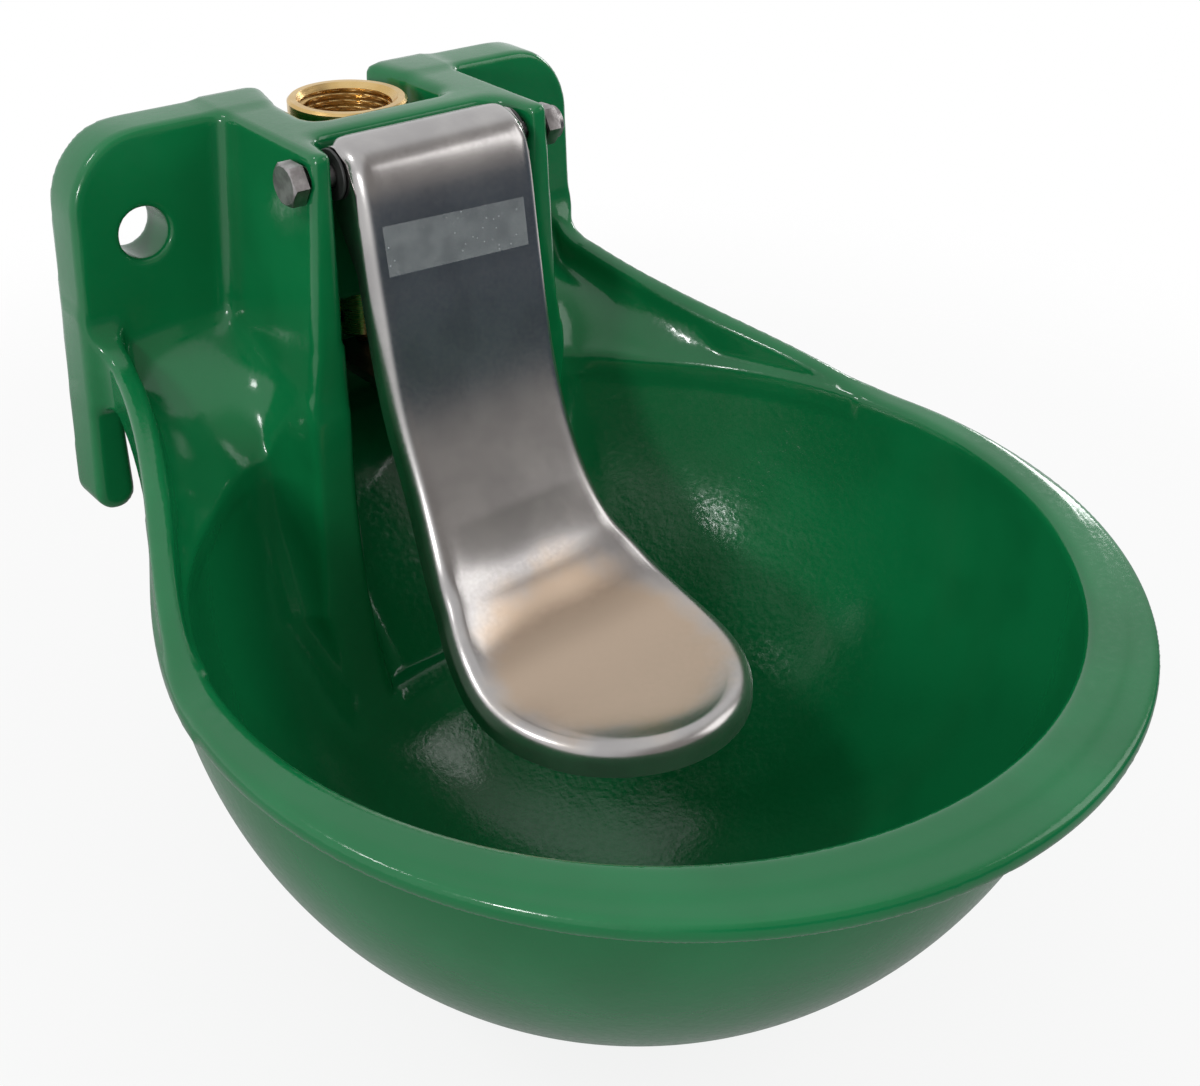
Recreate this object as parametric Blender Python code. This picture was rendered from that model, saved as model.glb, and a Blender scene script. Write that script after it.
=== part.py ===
"""Livestock drinking bowl: cast iron bowl, pressed tongue on a through bolt, brass inlet valve.

Metres, +Z up. The wall that the bowl hangs on is the plane y = 0, the bowl lies towards -Y,
and z = 0 is the top of the rim. The tongue swings about +X, and pushing it back lifts the stem.
"""

import math

import bmesh
import bpy
import numpy as np
from mathutils import Matrix, Vector

# Play between neighbouring pieces.
GAP = 0.0003

# Bowl: half an ellipsoid, with a wider rim that is set forward of it.
BOWL_RADIUS = 0.110
BOWL_DEPTH = 0.116
BOWL_WALL = 0.0065
BOWL_BACK = 0.0305
BOWL_Y = -BOWL_RADIUS - BOWL_BACK
RIM_WIDTH = 0.0099
RIM_FORWARD = 0.0088
RIM_RADIUS = BOWL_RADIUS + RIM_WIDTH
RIM_Y = BOWL_Y - RIM_FORWARD
RIM_THICKNESS = 0.0055

# Ears on the wall.
EAR_TOP = 0.0875
EAR_INSET = 0.0295
EAR_HALF = BOWL_RADIUS - EAR_INSET
EAR_FLARE = 0.0055
EAR_THICKNESS = 0.0152
EAR_CORNER = 0.0225
LEG_BOTTOM = -0.0175
LEG_WIDTH = 0.011
SLOT_WIDTH = 0.018
SLOT_TOP = 0.016
HOLE_RADIUS = 0.007
HOLE_INSET = 0.0188
HOLE_X = EAR_HALF - HOLE_INSET
HOLE_Z = 0.0593

# Housing between the ears, which carries the tongue and the valve.
TONGUE_HALF = 0.0275
TONGUE_PLAY = 0.0012
RECESS_HALF = TONGUE_HALF + TONGUE_PLAY
HOUSING_WALL = 0.0075
HOUSING_HALF = RECESS_HALF + HOUSING_WALL
HOUSING_DRAFT = 0.095
HOUSING_FRONT = -0.060
FLARE_TOP = 0.020
RECESS_FRONT_HALF = RECESS_HALF + 0.0026
BRIDGE_FRONT = -0.045
BRIDGE_BACK = -0.0346
POCKET_HALF = 0.0213
NOTCH_HALF = 0.0166
WEB_TOP = 0.048
WEB_THICKNESS = 0.008
CHAMBER_WALL = 0.0045
CHAMBER_LEDGE = (-0.014, -0.011)
CHAMBER_FOOT = (HOUSING_FRONT + 0.0006, -0.0766)
BACK_FLAT_BOTTOM = -0.008
BACK_SLOPE_WALL = 0.0075

# Side wall and the shelf that falls from the ears to the opening.
CURB_WALL = 0.0055
CURB_TOP = 0.029
CURB_POWER = 1.35
CREASE_Z = 0.031
SHELF_SHEET = 0.0065
SHELF_RISE = 0.0195
SHELF_FRONT = BOWL_Y + 0.0285

# Tongue pivot.
PIVOT_Y = -0.0536
PIVOT_Z = 0.0790
BOLT_RADIUS = 0.004
BUSH_WALL = 0.0007
TUBE_WALL = 0.0017
EYE_RADIUS = 0.0068
BOLT_ACROSS_FLATS = 0.013
HEAD_HEIGHT = 0.0053
NUT_HEIGHT = 0.0065
BOLT_PAST = 0.0012

# Tongue: pressed sheet with rolled edges.
TONGUE_SHEET = 0.0018
TONGUE_ROLL = 0.0048
PAD_HALF = 0.039
PAD_MIDDLE_Y = -0.1285
PAD_TIP_Y = -0.1715
PAD_Z = -0.0385
PAD_DISH = 0.0016
PAD_NECK = 0.046
TOP_CURL = ((0.0040, 0.0076), (-0.0010, 0.0084), (-0.0082, 0.0054), (-0.0125, -0.0030))
STEM_SWEEP = ((0.0048, 0.0290), (0.0110, 0.0570), (0.0200, 0.0790), (0.0305, 0.0970))
NECK_SWEEP = ((0.0225, 0.0120), (0.0125, 0.0046), (0.0, 0.0), (-0.0180, -0.0010))

# Valve, on a vertical axis behind the bridge.
VALVE_Y = -0.0179
VALVE_TOP = 0.085
VALVE_RADIUS = 0.0163
THREAD_RADIUS = 0.0121
SHANK_RADIUS = 0.0082
SHANK_BOTTOM = 0.0168
OUTLET_RADIUS = 0.0045
CAVITY_RADIUS = 0.0084
CAP_SEAT_RADIUS = 0.0112
STEM_HEAD_RADIUS = 0.0062
GASKET_RADIUS = 0.0152
GASKET_HEIGHT = 0.0015
STEM_RADIUS = 0.0022
LOCK_NUT_FLATS = 0.022
SPRING_RADIUS = 0.0046
SPRING_WIRE = 0.00045
SPRING_TURNS = 4
FLOW_SCREW_Z = 0.028
PORT_Z = 0.0228
PORT_RADIUS = 0.003

# Lever that lifts the stem.
LEVER_TOP = 0.012
LEVER_SHEET = 0.003
LEVER_HALF = 0.011

BOWL_ROUND = 64
ROUND = 36
SMALL_ROUND = 20

ENAMEL = ("green_enamel", (0.013, 0.155, 0.062), 0.18, 0.0)
STAINLESS = ("stainless_sheet", (0.50, 0.47, 0.45), 0.28, 1.0)
ZINC = ("zinc_plated_steel", (0.42, 0.42, 0.44), 0.35, 1.0)
BRASS = ("machined_brass", (0.72, 0.47, 0.20), 0.28, 1.0)
SPRING_STEEL = ("spring_steel", (0.48, 0.48, 0.50), 0.30, 1.0)
RUBBER = ("black_rubber", (0.015, 0.015, 0.016), 0.75, 0.0)
FIBRE = ("fibre_washer", (0.16, 0.045, 0.025), 0.80, 0.0)
NYLON = ("white_nylon", (0.62, 0.61, 0.56), 0.45, 0.0)
BLUE_NYLON = ("blue_nylon", (0.03, 0.12, 0.40), 0.45, 0.0)


def clear_scene():
    """Remove every object that the file starts with."""
    for obj in list(bpy.data.objects):
        bpy.data.objects.remove(obj, do_unlink=True)


def material(name, colour, roughness, metallic):
    """Return the named Principled material, making it on its first use."""
    found = bpy.data.materials.get(name)
    if found:
        return found
    made = bpy.data.materials.new(name)
    made.use_nodes = True
    shader = made.node_tree.nodes["Principled BSDF"]
    shader.inputs["Base Color"].default_value = (*colour, 1.0)
    shader.inputs["Roughness"].default_value = roughness
    shader.inputs["Metallic"].default_value = metallic
    return made


def mesh_object(name, vertices, faces, origin=(0, 0, 0)):
    """Make an object from points in world space, with its own origin and faces turned outwards."""
    mesh = bpy.data.meshes.new(name)
    offset = Vector(origin)
    mesh.from_pydata([Vector(v) - offset for v in vertices], [], faces)
    shape = bmesh.new()
    shape.from_mesh(mesh)
    bmesh.ops.remove_doubles(shape, verts=shape.verts, dist=1e-6)
    bmesh.ops.recalc_face_normals(shape, faces=shape.faces)
    shape.to_mesh(mesh)
    shape.free()
    obj = bpy.data.objects.new(name, mesh)
    obj.location = offset
    bpy.context.scene.collection.objects.link(obj)
    return obj


def finish(obj, finish_of):
    """Give an object its material, and sharp-edged smooth shading."""
    obj.data.materials.clear()
    obj.data.materials.append(material(*finish_of))
    obj.data.shade_smooth()
    obj.data.set_sharp_from_angle(angle=math.radians(35))
    return obj


def loft(name, rings, origin=(0, 0, 0), closed=False):
    """Skin rings of equal length. The ends are capped, or joined to each other when closed."""
    size = len(rings[0])
    points = [tuple(p) for ring in rings for p in ring]
    faces = []
    last = len(rings) if closed else len(rings) - 1
    for row in range(last):
        here = row * size
        there = (row + 1) % len(rings) * size
        for i in range(size):
            j = (i + 1) % size
            faces.append((here + i, here + j, there + j, there + i))
    if not closed:
        faces.append(tuple(range(size)))
        faces.append(tuple(range((len(rings) - 1) * size, len(rings) * size)))
    return mesh_object(name, points, faces, origin)


def circle(radius, height, centre=(0, 0), count=ROUND):
    """Return one level ring of points round the vertical through centre."""
    turn = [2 * math.pi * i / count for i in range(count)]
    return [(centre[0] + radius * math.cos(a), centre[1] + radius * math.sin(a), height) for a in turn]


def hexagon(across_flats, height, limit, count=24):
    """Return a level hexagonal ring, cut off at the radius limit as a turned chamfer does."""
    ring = []
    for i in range(count):
        angle = 2 * math.pi * i / count
        from_flat = (angle + math.pi / 6) % (math.pi / 3) - math.pi / 6
        radius = min(across_flats / 2 / math.cos(from_flat), limit)
        ring.append((radius * math.cos(angle), radius * math.sin(angle), height))
    return ring


def turned(name, profile, count=SMALL_ROUND, origin=(0, 0, 0)):
    """Turn a closed (radius, height) outline that keeps clear of the axis."""
    rings = []
    for i in range(count):
        angle = 2 * math.pi * i / count
        rings.append([(r * math.cos(angle), r * math.sin(angle), z) for r, z in profile])
    obj = loft(name, rings, closed=True)
    obj.location = origin
    return obj


def rod(name, profile, count=SMALL_ROUND, origin=(0, 0, 0)):
    """Turn an open (radius, height) outline into a solid with flat ends."""
    obj = loft(name, [circle(r, z, count=count) for r, z in profile])
    obj.location = origin
    return obj


def box(name, low, high):
    """Return a block between two corners."""
    plan = [(low[0], low[1]), (high[0], low[1]), (high[0], high[1]), (low[0], high[1])]
    return loft(name, [[(x, y, z) for x, y in plan] for z in (low[2], high[2])])


def lay_along(obj, axis):
    """Turn the mesh of an upright piece so that its +Z points along axis."""
    turn = Vector((0, 0, 1)).rotation_difference(Vector(axis)).to_matrix().to_4x4()
    obj.data.transform(turn)
    return obj


def combine(target, other, operation, solver="EXACT"):
    """Apply a Boolean and remove the other object."""
    step = target.modifiers.new(operation.lower(), "BOOLEAN")
    step.object = other
    step.operation = operation
    step.solver = solver
    bpy.context.view_layer.update()
    graph = bpy.context.evaluated_depsgraph_get()
    result = bpy.data.meshes.new_from_object(target.evaluated_get(graph))
    target.modifiers.clear()
    old = target.data
    target.data = result
    bpy.data.meshes.remove(old)
    bpy.data.objects.remove(other, do_unlink=True)


def round_edges(obj, width, segments=2, angle=40):
    """Apply a bevel to the edges sharper than angle."""
    bevel = obj.modifiers.new("rounded", "BEVEL")
    bevel.width = width
    bevel.segments = segments
    bevel.limit_method = "ANGLE"
    bevel.angle_limit = math.radians(angle)
    bpy.context.view_layer.update()
    graph = bpy.context.evaluated_depsgraph_get()
    result = bpy.data.meshes.new_from_object(obj.evaluated_get(graph))
    obj.modifiers.clear()
    old = obj.data
    obj.data = result
    bpy.data.meshes.remove(old)


def arc(centre, radius, start, end, count):
    """Return points of a plane arc, angles in degrees."""
    angles = np.radians(np.linspace(start, end, count))
    return [(centre[0] + radius * math.cos(a), centre[1] + radius * math.sin(a)) for a in angles]


def bezier(points, count):
    """Return count points of a cubic in the plane."""
    t = np.linspace(0, 1, count)[:, None]
    p0, p1, p2, p3 = (np.array(p) for p in points)
    curve = (1 - t) ** 3 * p0 + 3 * (1 - t) ** 2 * t * p1 + 3 * (1 - t) * t**2 * p2 + t**3 * p3
    return [tuple(p) for p in curve]


def inset(outline, distance):
    """Move a plane outline, drawn anticlockwise, inwards along its point normals."""
    points = np.array(outline)
    along = np.roll(points, -1, axis=0) - np.roll(points, 1, axis=0)
    inward = np.stack([-along[:, 1], along[:, 0]], axis=1)
    inward /= np.linalg.norm(inward, axis=1)[:, None]
    return [tuple(p) for p in points + inward * distance]


def mirrored(outline):
    """Complete a right half outline, drawn from front to back, with its left half."""
    return list(outline) + [(-x, y) for x, y in reversed(outline) if x > 1e-9]


def side_curve(count=14):
    """Return the plan of the right side, from the rim's widest part back to the ear."""
    start_angle = math.radians(10)
    start = (RIM_RADIUS * math.cos(start_angle), RIM_Y + RIM_RADIUS * math.sin(start_angle))
    reach = RIM_RADIUS * 0.3
    leave = (start[0] - reach * math.sin(start_angle), start[1] + reach * math.cos(start_angle))
    end = (EAR_HALF - 0.001, -EAR_THICKNESS - 0.006)
    arrive = (end[0] + 0.0025, end[1] - 0.040)
    return bezier([start, leave, arrive, end], count)


def curb_height(y):
    """Return the height of the side wall's top: low at the rim, sweeping up into the ear."""
    front = RIM_Y + RIM_RADIUS * math.sin(math.radians(10))
    back = -EAR_THICKNESS - 0.014
    share = min(max((y - front) / (back - front), 0.0), 1.0)
    sweep = max(y - back, 0.0) / 0.014
    return CURB_TOP * share**CURB_POWER + 0.006 * sweep**2


def ellipsoid_rings(radius, depth, count=11):
    """Return level rings of the lower half of an ellipsoid, from its bottom up."""
    rings = []
    for step in range(count):
        angle = math.radians(88.5 * (1 - step / (count - 1)))
        rings.append(circle(radius * math.cos(angle), -depth * math.sin(angle), (0, BOWL_Y), BOWL_ROUND))
    return rings


def wall_height(x, y, share):
    """Return the height of the bowl's wall under a place: share 0 is its inside, 1 its outside."""
    radius = BOWL_RADIUS + BOWL_WALL * share
    depth = BOWL_DEPTH + BOWL_WALL * share
    reach = math.hypot(x, y - BOWL_Y) / radius
    return -depth * math.sqrt(max(1 - reach**2, 0.0))


def bowl_shell():
    """Return the outside of the bowl: half an ellipsoid with a short cylinder above it."""
    outer = BOWL_RADIUS + BOWL_WALL
    depth = BOWL_DEPTH + BOWL_WALL
    rings = ellipsoid_rings(outer, depth)
    rings[-1] = circle(outer, -0.001, (0, BOWL_Y), BOWL_ROUND)
    return loft("bowl_outside", rings)


def bowl_hollow():
    """Return the inside of the bowl, with a rounded edge at the opening and room above it."""
    rings = ellipsoid_rings(BOWL_RADIUS, BOWL_DEPTH)
    rings[-1] = circle(BOWL_RADIUS, -0.0022, (0, BOWL_Y), BOWL_ROUND)
    rings.append(circle(BOWL_RADIUS + 0.0006, -0.0007, (0, BOWL_Y), BOWL_ROUND))
    rings.append(circle(BOWL_RADIUS + 0.0018, 0.0002, (0, BOWL_Y), BOWL_ROUND))
    rings.append(circle(BOWL_RADIUS + 0.0020, 0.0400, (0, BOWL_Y), BOWL_ROUND))
    return loft("bowl_hollow", rings)


def rim_plate():
    """Return the flat rim with its rounded lip, from the front back beside the opening."""
    front = [(x, y + RIM_Y) for x, y in arc((0, 0), RIM_RADIUS, -90, 10, 26)]
    side = [p for p in side_curve()[1:] if p[1] < -0.056]
    half = front + side
    outline = mirrored(half)
    outline = outline[:-1] if outline[-1] == outline[0] else outline
    levels = [
        (0.0085, -RIM_THICKNESS - 0.0035),
        (0.0020, -RIM_THICKNESS - 0.0003),
        (0.0004, -RIM_THICKNESS + 0.0012),
        (0.0000, -RIM_THICKNESS + 0.0026),
        (0.0000, -0.0018),
        (0.0006, -0.0006),
        (0.0018, 0.0000),
    ]
    return loft("rim", [[(x, y, z) for x, y in inset(outline, cut)] for cut, z in levels])


def curb(side):
    """Return one side wall, which stands on the outline and sweeps up into the ear."""
    path = side_curve(18)
    path.append((EAR_HALF, -EAR_THICKNESS + 0.004))
    rings = []
    for i, (x, y) in enumerate(path):
        before = path[max(i - 1, 0)]
        after = path[min(i + 1, len(path) - 1)]
        along = Vector((after[0] - before[0], after[1] - before[1])).normalized()
        inward = Vector((-along.y, along.x))
        top = max(curb_height(y), 0.0) - 0.0002
        lower = -RIM_THICKNESS + max(0.0, 1 - (-EAR_THICKNESS - y) / 0.042) * (SLOT_TOP + RIM_THICKNESS)
        lower = min(lower, SLOT_TOP)
        section = [
            (0.0000, lower),
            (0.0000, top - 0.0015),
            (0.0005, top - 0.0004),
            (0.0015, top),
            (CURB_WALL - 0.0015, top),
            (CURB_WALL - 0.0004, top - 0.0005),
            (CURB_WALL, top - 0.0016),
            (CURB_WALL + 0.0012, lower),
        ]
        rings.append([(side * (x + inward.x * d), y + inward.y * d, z) for d, z in section])
    return loft("curb", rings)


def ear(side):
    """Return one ear: a plate with a rounded outer corner and a leg beside an open slot."""
    bottom_half = EAR_HALF + EAR_FLARE
    leg_inner = bottom_half - LEG_WIDTH
    slot_inner = leg_inner - SLOT_WIDTH
    slot_radius = SLOT_WIDTH / 2
    leg_radius = LEG_WIDTH / 2 - 0.0002
    slot_centre = (leg_inner + slot_inner) / 2
    outline = [(HOUSING_HALF - 0.006, EAR_TOP)]
    corner = (EAR_HALF - EAR_CORNER, EAR_TOP - EAR_CORNER)
    outline += list(reversed(arc(corner, EAR_CORNER, 0, 90, 9)))
    foot = (bottom_half - LEG_WIDTH / 2, LEG_BOTTOM + leg_radius)
    outline += list(reversed(arc(foot, leg_radius, -180, 0, 9)))
    outline += list(reversed(arc((slot_centre, SLOT_TOP - slot_radius), slot_radius, 0, 180, 11)))[::-1]
    outline += [(slot_inner, -0.006), (HOUSING_HALF - 0.006, -0.006)]
    front = [(side * x, -EAR_THICKNESS, z) for x, z in outline]
    back = [(side * x, 0.0, z) for x, z in outline]
    plate = loft("ear", [front, back])
    round_edges(plate, 0.0018, 2, 60)
    hole = rod("ear_hole", [(HOLE_RADIUS, -0.05), (HOLE_RADIUS, 0.05)], 32)
    lay_along(hole, (0, 1, 0))
    hole.location = (side * HOLE_X, 0, HOLE_Z)
    combine(plate, hole, "DIFFERENCE")
    return plate


def housing_half(z):
    """Return the half-width of the housing's front at a height."""
    kink = max(0.030 - z, 0.0) * 0.06
    return HOUSING_HALF + (EAR_TOP - z) * HOUSING_DRAFT + kink


def back_face(z):
    """Return the y of the housing's back: flat on the wall, then running in under the bowl."""
    share = max((BACK_FLAT_BOTTOM - z) / (BACK_FLAT_BOTTOM - CHAMBER_FOOT[1]), 0.0)
    return (CHAMBER_FOOT[0] + BACK_SLOPE_WALL) * share


def housing():
    """Return the block between the ears, which the valve pocket and the recess are cut from."""
    rings = []
    levels = [EAR_TOP, 0.030, FLARE_TOP, BACK_FLAT_BOTTOM, -0.030, -0.055, CHAMBER_FOOT[1] - 0.004]
    for z in levels:
        half = housing_half(max(z, FLARE_TOP)) - max(-0.045 - z, 0.0) * 0.35
        back = back_face(z)
        right = [
            (half, HOUSING_FRONT),
            (half + 0.0010, HOUSING_FRONT + 0.5 * (back - HOUSING_FRONT)),
            (half + 0.0020, back - 0.0015),
            (half, back),
        ]
        rings.append([(x, y, z) for x, y in right] + [(-x, y, z) for x, y in reversed(right)])
    return loft("housing", rings)


def shelf_columns():
    """Return the shelf as columns from its outer edge down to the opening, right side, back to front."""
    flank = housing_half(CREASE_Z) - 0.0015
    y_in = -EAR_THICKNESS + 0.003
    wall = EAR_HALF - CURB_WALL - 0.001
    fairing = [
        ((flank, HOUSING_FRONT + 0.0050, 0.0200), (flank + 0.0030, HOUSING_FRONT + 0.0018, 0.0185)),
        ((flank, HOUSING_FRONT + 0.0120, 0.0212), (flank + 0.0046, HOUSING_FRONT + 0.0052, 0.0122)),
        ((flank, HOUSING_FRONT + 0.0240, 0.0240), (flank + 0.0078, HOUSING_FRONT + 0.0092, 0.0076)),
        ((flank, HOUSING_FRONT + 0.0350, 0.0268), (flank + 0.0118, HOUSING_FRONT + 0.0122, 0.0044)),
    ]
    tops = [(flank + (wall - flank) * share, y_in, CREASE_Z) for share in (0.0, 0.33, 0.66, 1.0)]
    tops.append((EAR_HALF - CURB_WALL, -EAR_THICKNESS - 0.0015, 0.0255))
    for x, y in reversed(side_curve(18)):
        foot = x - CURB_WALL + 0.001
        if math.hypot(foot, y - BOWL_Y) > BOWL_RADIUS + 0.0045:
            share = (y - SHELF_FRONT) / (-EAR_THICKNESS - 0.010 - SHELF_FRONT)
            tops.append((foot, y, SHELF_RISE * max(share, 0.0) ** 1.15))
    edge = []
    turn = math.radians(60)
    for x, y, _ in tops:
        turn = min(math.atan2(y - BOWL_Y, x), turn - math.radians(1.3))
        on_rim = min(max((math.radians(54) - turn) / math.radians(8), 0.0), 1.0)
        radius = BOWL_RADIUS + 0.0004 + 0.0012 * on_rim
        rise = 0.0020 - 0.0022 * on_rim
        edge.append((radius * math.cos(turn), BOWL_Y + radius * math.sin(turn), rise))
    return fairing, list(zip(tops, edge))


def shelf(side):
    """Return the shelf as one body, thick beside the housing, where it fills down to the bowl."""
    fairing, sheet = shelf_columns()
    flank = fairing[0][0][0] - 0.0055
    rings = []
    for n, (top, low) in enumerate(fairing + sheet):
        sag = 0.0 if n == 0 else 0.0018
        column = []
        for k in range(5):
            t = k / 4
            x, y, z = (top[i] + (low[i] - top[i]) * t for i in range(3))
            column.append((x, y, z - sag * math.sin(math.pi * t)))
        lip = (low[0], low[1], low[2] - 0.0009)
        outward = Vector((low[0], low[1] - BOWL_Y)).normalized() * 0.0008
        column[-1] = (low[0] + outward.x, low[1] + outward.y, low[2])
        column.append(lip)
        if n < len(fairing):
            under = []
            for k in range(5):
                x = low[0] + (flank - low[0]) * k / 4
                under.append((x, low[1], wall_height(x, low[1], 0.5)))
        else:
            under = [(x, y, z - SHELF_SHEET) for x, y, z in reversed(column[:-1])]
        rings.append([(side * x, y, z) for x, y, z in column + under])
    return loft("shelf", rings)


def recess_hollow():
    """Return the slot for the tongue, open at the top and the front."""
    flare = (RECESS_FRONT_HALF - RECESS_HALF) / (BRIDGE_FRONT - HOUSING_FRONT)
    reach = 0.016
    wide = RECESS_FRONT_HALF + flare * reach
    plan = [
        (-RECESS_HALF, BRIDGE_FRONT),
        (-wide, HOUSING_FRONT - reach),
        (wide, HOUSING_FRONT - reach),
        (RECESS_HALF, BRIDGE_FRONT),
    ]
    low = WEB_TOP - WEB_THICKNESS - 0.004
    return loft("recess", [[(x, y, z) for x, y in plan] for z in (low, EAR_TOP + 0.01)])


def chamber_hollow():
    """Return the room under the web, whose sloping back runs out into the bowl."""
    foot = CHAMBER_FOOT[1]
    levels = [
        (WEB_TOP - WEB_THICKNESS, -CHAMBER_WALL, RECESS_HALF - 0.0010, RECESS_FRONT_HALF),
        (CHAMBER_LEDGE[1] + 0.001, -CHAMBER_WALL, RECESS_HALF - 0.0015, RECESS_FRONT_HALF),
        (CHAMBER_LEDGE[1], CHAMBER_LEDGE[0], RECESS_HALF - 0.0015, RECESS_FRONT_HALF),
        (-0.045, None, RECESS_HALF - 0.0025, RECESS_FRONT_HALF - 0.0025),
        (foot, CHAMBER_FOOT[0], RECESS_HALF - 0.0060, RECESS_FRONT_HALF - 0.0060),
    ]
    slope = (CHAMBER_FOOT[0] - CHAMBER_LEDGE[0]) / (CHAMBER_FOOT[1] - CHAMBER_LEDGE[1])
    front = HOUSING_FRONT - 0.016
    rings = []
    for z, back, back_half, front_half in levels:
        if back is None:
            back = CHAMBER_LEDGE[0] + (z - CHAMBER_LEDGE[1]) * slope
        ring = [(-back_half, back, z), (-front_half, HOUSING_FRONT, z), (-front_half, front, z)]
        ring += [(front_half, front, z), (front_half, HOUSING_FRONT, z), (back_half, back, z)]
        if z == foot:
            ring = [(x, y, max(wall_height(x, y, 0) + 0.0008, z)) for x, y, _ in ring]
        rings.append(ring)
    return loft("chamber", rings)


def pocket_hollow():
    """Return the valve pocket, open at the top and at the back."""
    plan = [(NOTCH_HALF, 0.004), (NOTCH_HALF, 0.0), (POCKET_HALF - 0.0006, -0.0156)]
    plan += [(POCKET_HALF, BRIDGE_BACK + 0.004), (POCKET_HALF - 0.0012, BRIDGE_BACK + 0.0012)]
    plan += [(POCKET_HALF - 0.004, BRIDGE_BACK)]
    outline = plan + [(-x, y) for x, y in reversed(plan)]
    return loft("pocket", [[(x, y, z) for x, y in outline] for z in (WEB_TOP, EAR_TOP + 0.01)])


def bowl_casting():
    """Build the casting: bowl, rim, side walls, shelf and ears, then the housing and its hollows."""
    casting = bowl_shell()
    casting.name = "bowl_casting"
    combine(casting, rim_plate(), "UNION")
    for side in (1, -1):
        combine(casting, curb(side), "UNION")
        combine(casting, ear(side), "UNION")
    combine(casting, bowl_hollow(), "DIFFERENCE")
    combine(casting, housing(), "UNION", "MANIFOLD")
    for side in (1, -1):
        combine(casting, shelf(side), "UNION")
    for hollow in (recess_hollow(), chamber_hollow(), pocket_hollow()):
        combine(casting, hollow, "DIFFERENCE")
    valve_bore = rod("valve_bore", [(SHANK_RADIUS + 0.0005, 0.030), (SHANK_RADIUS + 0.0005, 0.060)])
    valve_bore.location = (0, VALVE_Y, 0)
    combine(casting, valve_bore, "DIFFERENCE")
    bolt_bore = rod("bolt_bore", [(BOLT_RADIUS + GAP, -0.06), (BOLT_RADIUS + GAP, 0.06)])
    lay_along(bolt_bore, (1, 0, 0))
    bolt_bore.location = (0, PIVOT_Y, PIVOT_Z)
    combine(casting, bolt_bore, "DIFFERENCE")
    return finish(casting, ENAMEL)


def spline(points, shares):
    """Return points at shares of the length of a smooth curve through the given plane points."""
    given = np.array(points, float)
    padded = np.vstack([2 * given[0] - given[1], given, 2 * given[-1] - given[-2]])
    dense = []
    for i in range(1, len(padded) - 2):
        a, b, c, d = padded[i - 1 : i + 3]
        for t in np.linspace(0, 1, 24, endpoint=False):
            bend = (2 * a - 5 * b + 4 * c - d) * t**2 + (3 * b - a - 3 * c + d) * t**3
            dense.append(0.5 * (2 * b + (c - a) * t + bend))
    dense.append(given[-1])
    dense = np.array(dense)
    length = np.concatenate([[0], np.cumsum(np.linalg.norm(np.diff(dense, axis=0), axis=1))])
    wanted = np.array(shares) * length[-1]
    return np.stack([np.interp(wanted, length, dense[:, n]) for n in (0, 1)], axis=1)


def tongue_spine(shares):
    """Return (y, z) points down the middle of the tongue's front, from its top edge to its tip."""
    points = [(PIVOT_Y + y, PIVOT_Z + z) for y, z in TOP_CURL]
    shoulder = points[-1][0]
    points += [(shoulder - y, PIVOT_Z - z) for y, z in STEM_SWEEP]
    points += [(PAD_MIDDLE_Y + y, PAD_Z + z) for y, z in NECK_SWEEP]
    points.append((PAD_TIP_Y + TONGUE_ROLL, PAD_Z))
    return spline(points, shares)


def tongue_width(y, z):
    """Return the half-width of the flat front: even down the stem, oval round the pad."""
    stem = TONGUE_HALF
    if y < PAD_MIDDLE_Y:
        share = (PAD_MIDDLE_Y - y) / (PAD_MIDDLE_Y - PAD_TIP_Y - TONGUE_ROLL)
        return (PAD_HALF - TONGUE_ROLL) * math.sqrt(max(1 - share**2, 0.03))
    neck = PAD_MIDDLE_Y + PAD_NECK
    share = min(max((neck - y) / (neck - PAD_MIDDLE_Y), 0.0), 1.0)
    smooth = share * share * (3 - 2 * share)
    return stem + (PAD_HALF - stem) * smooth - TONGUE_ROLL


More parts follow.
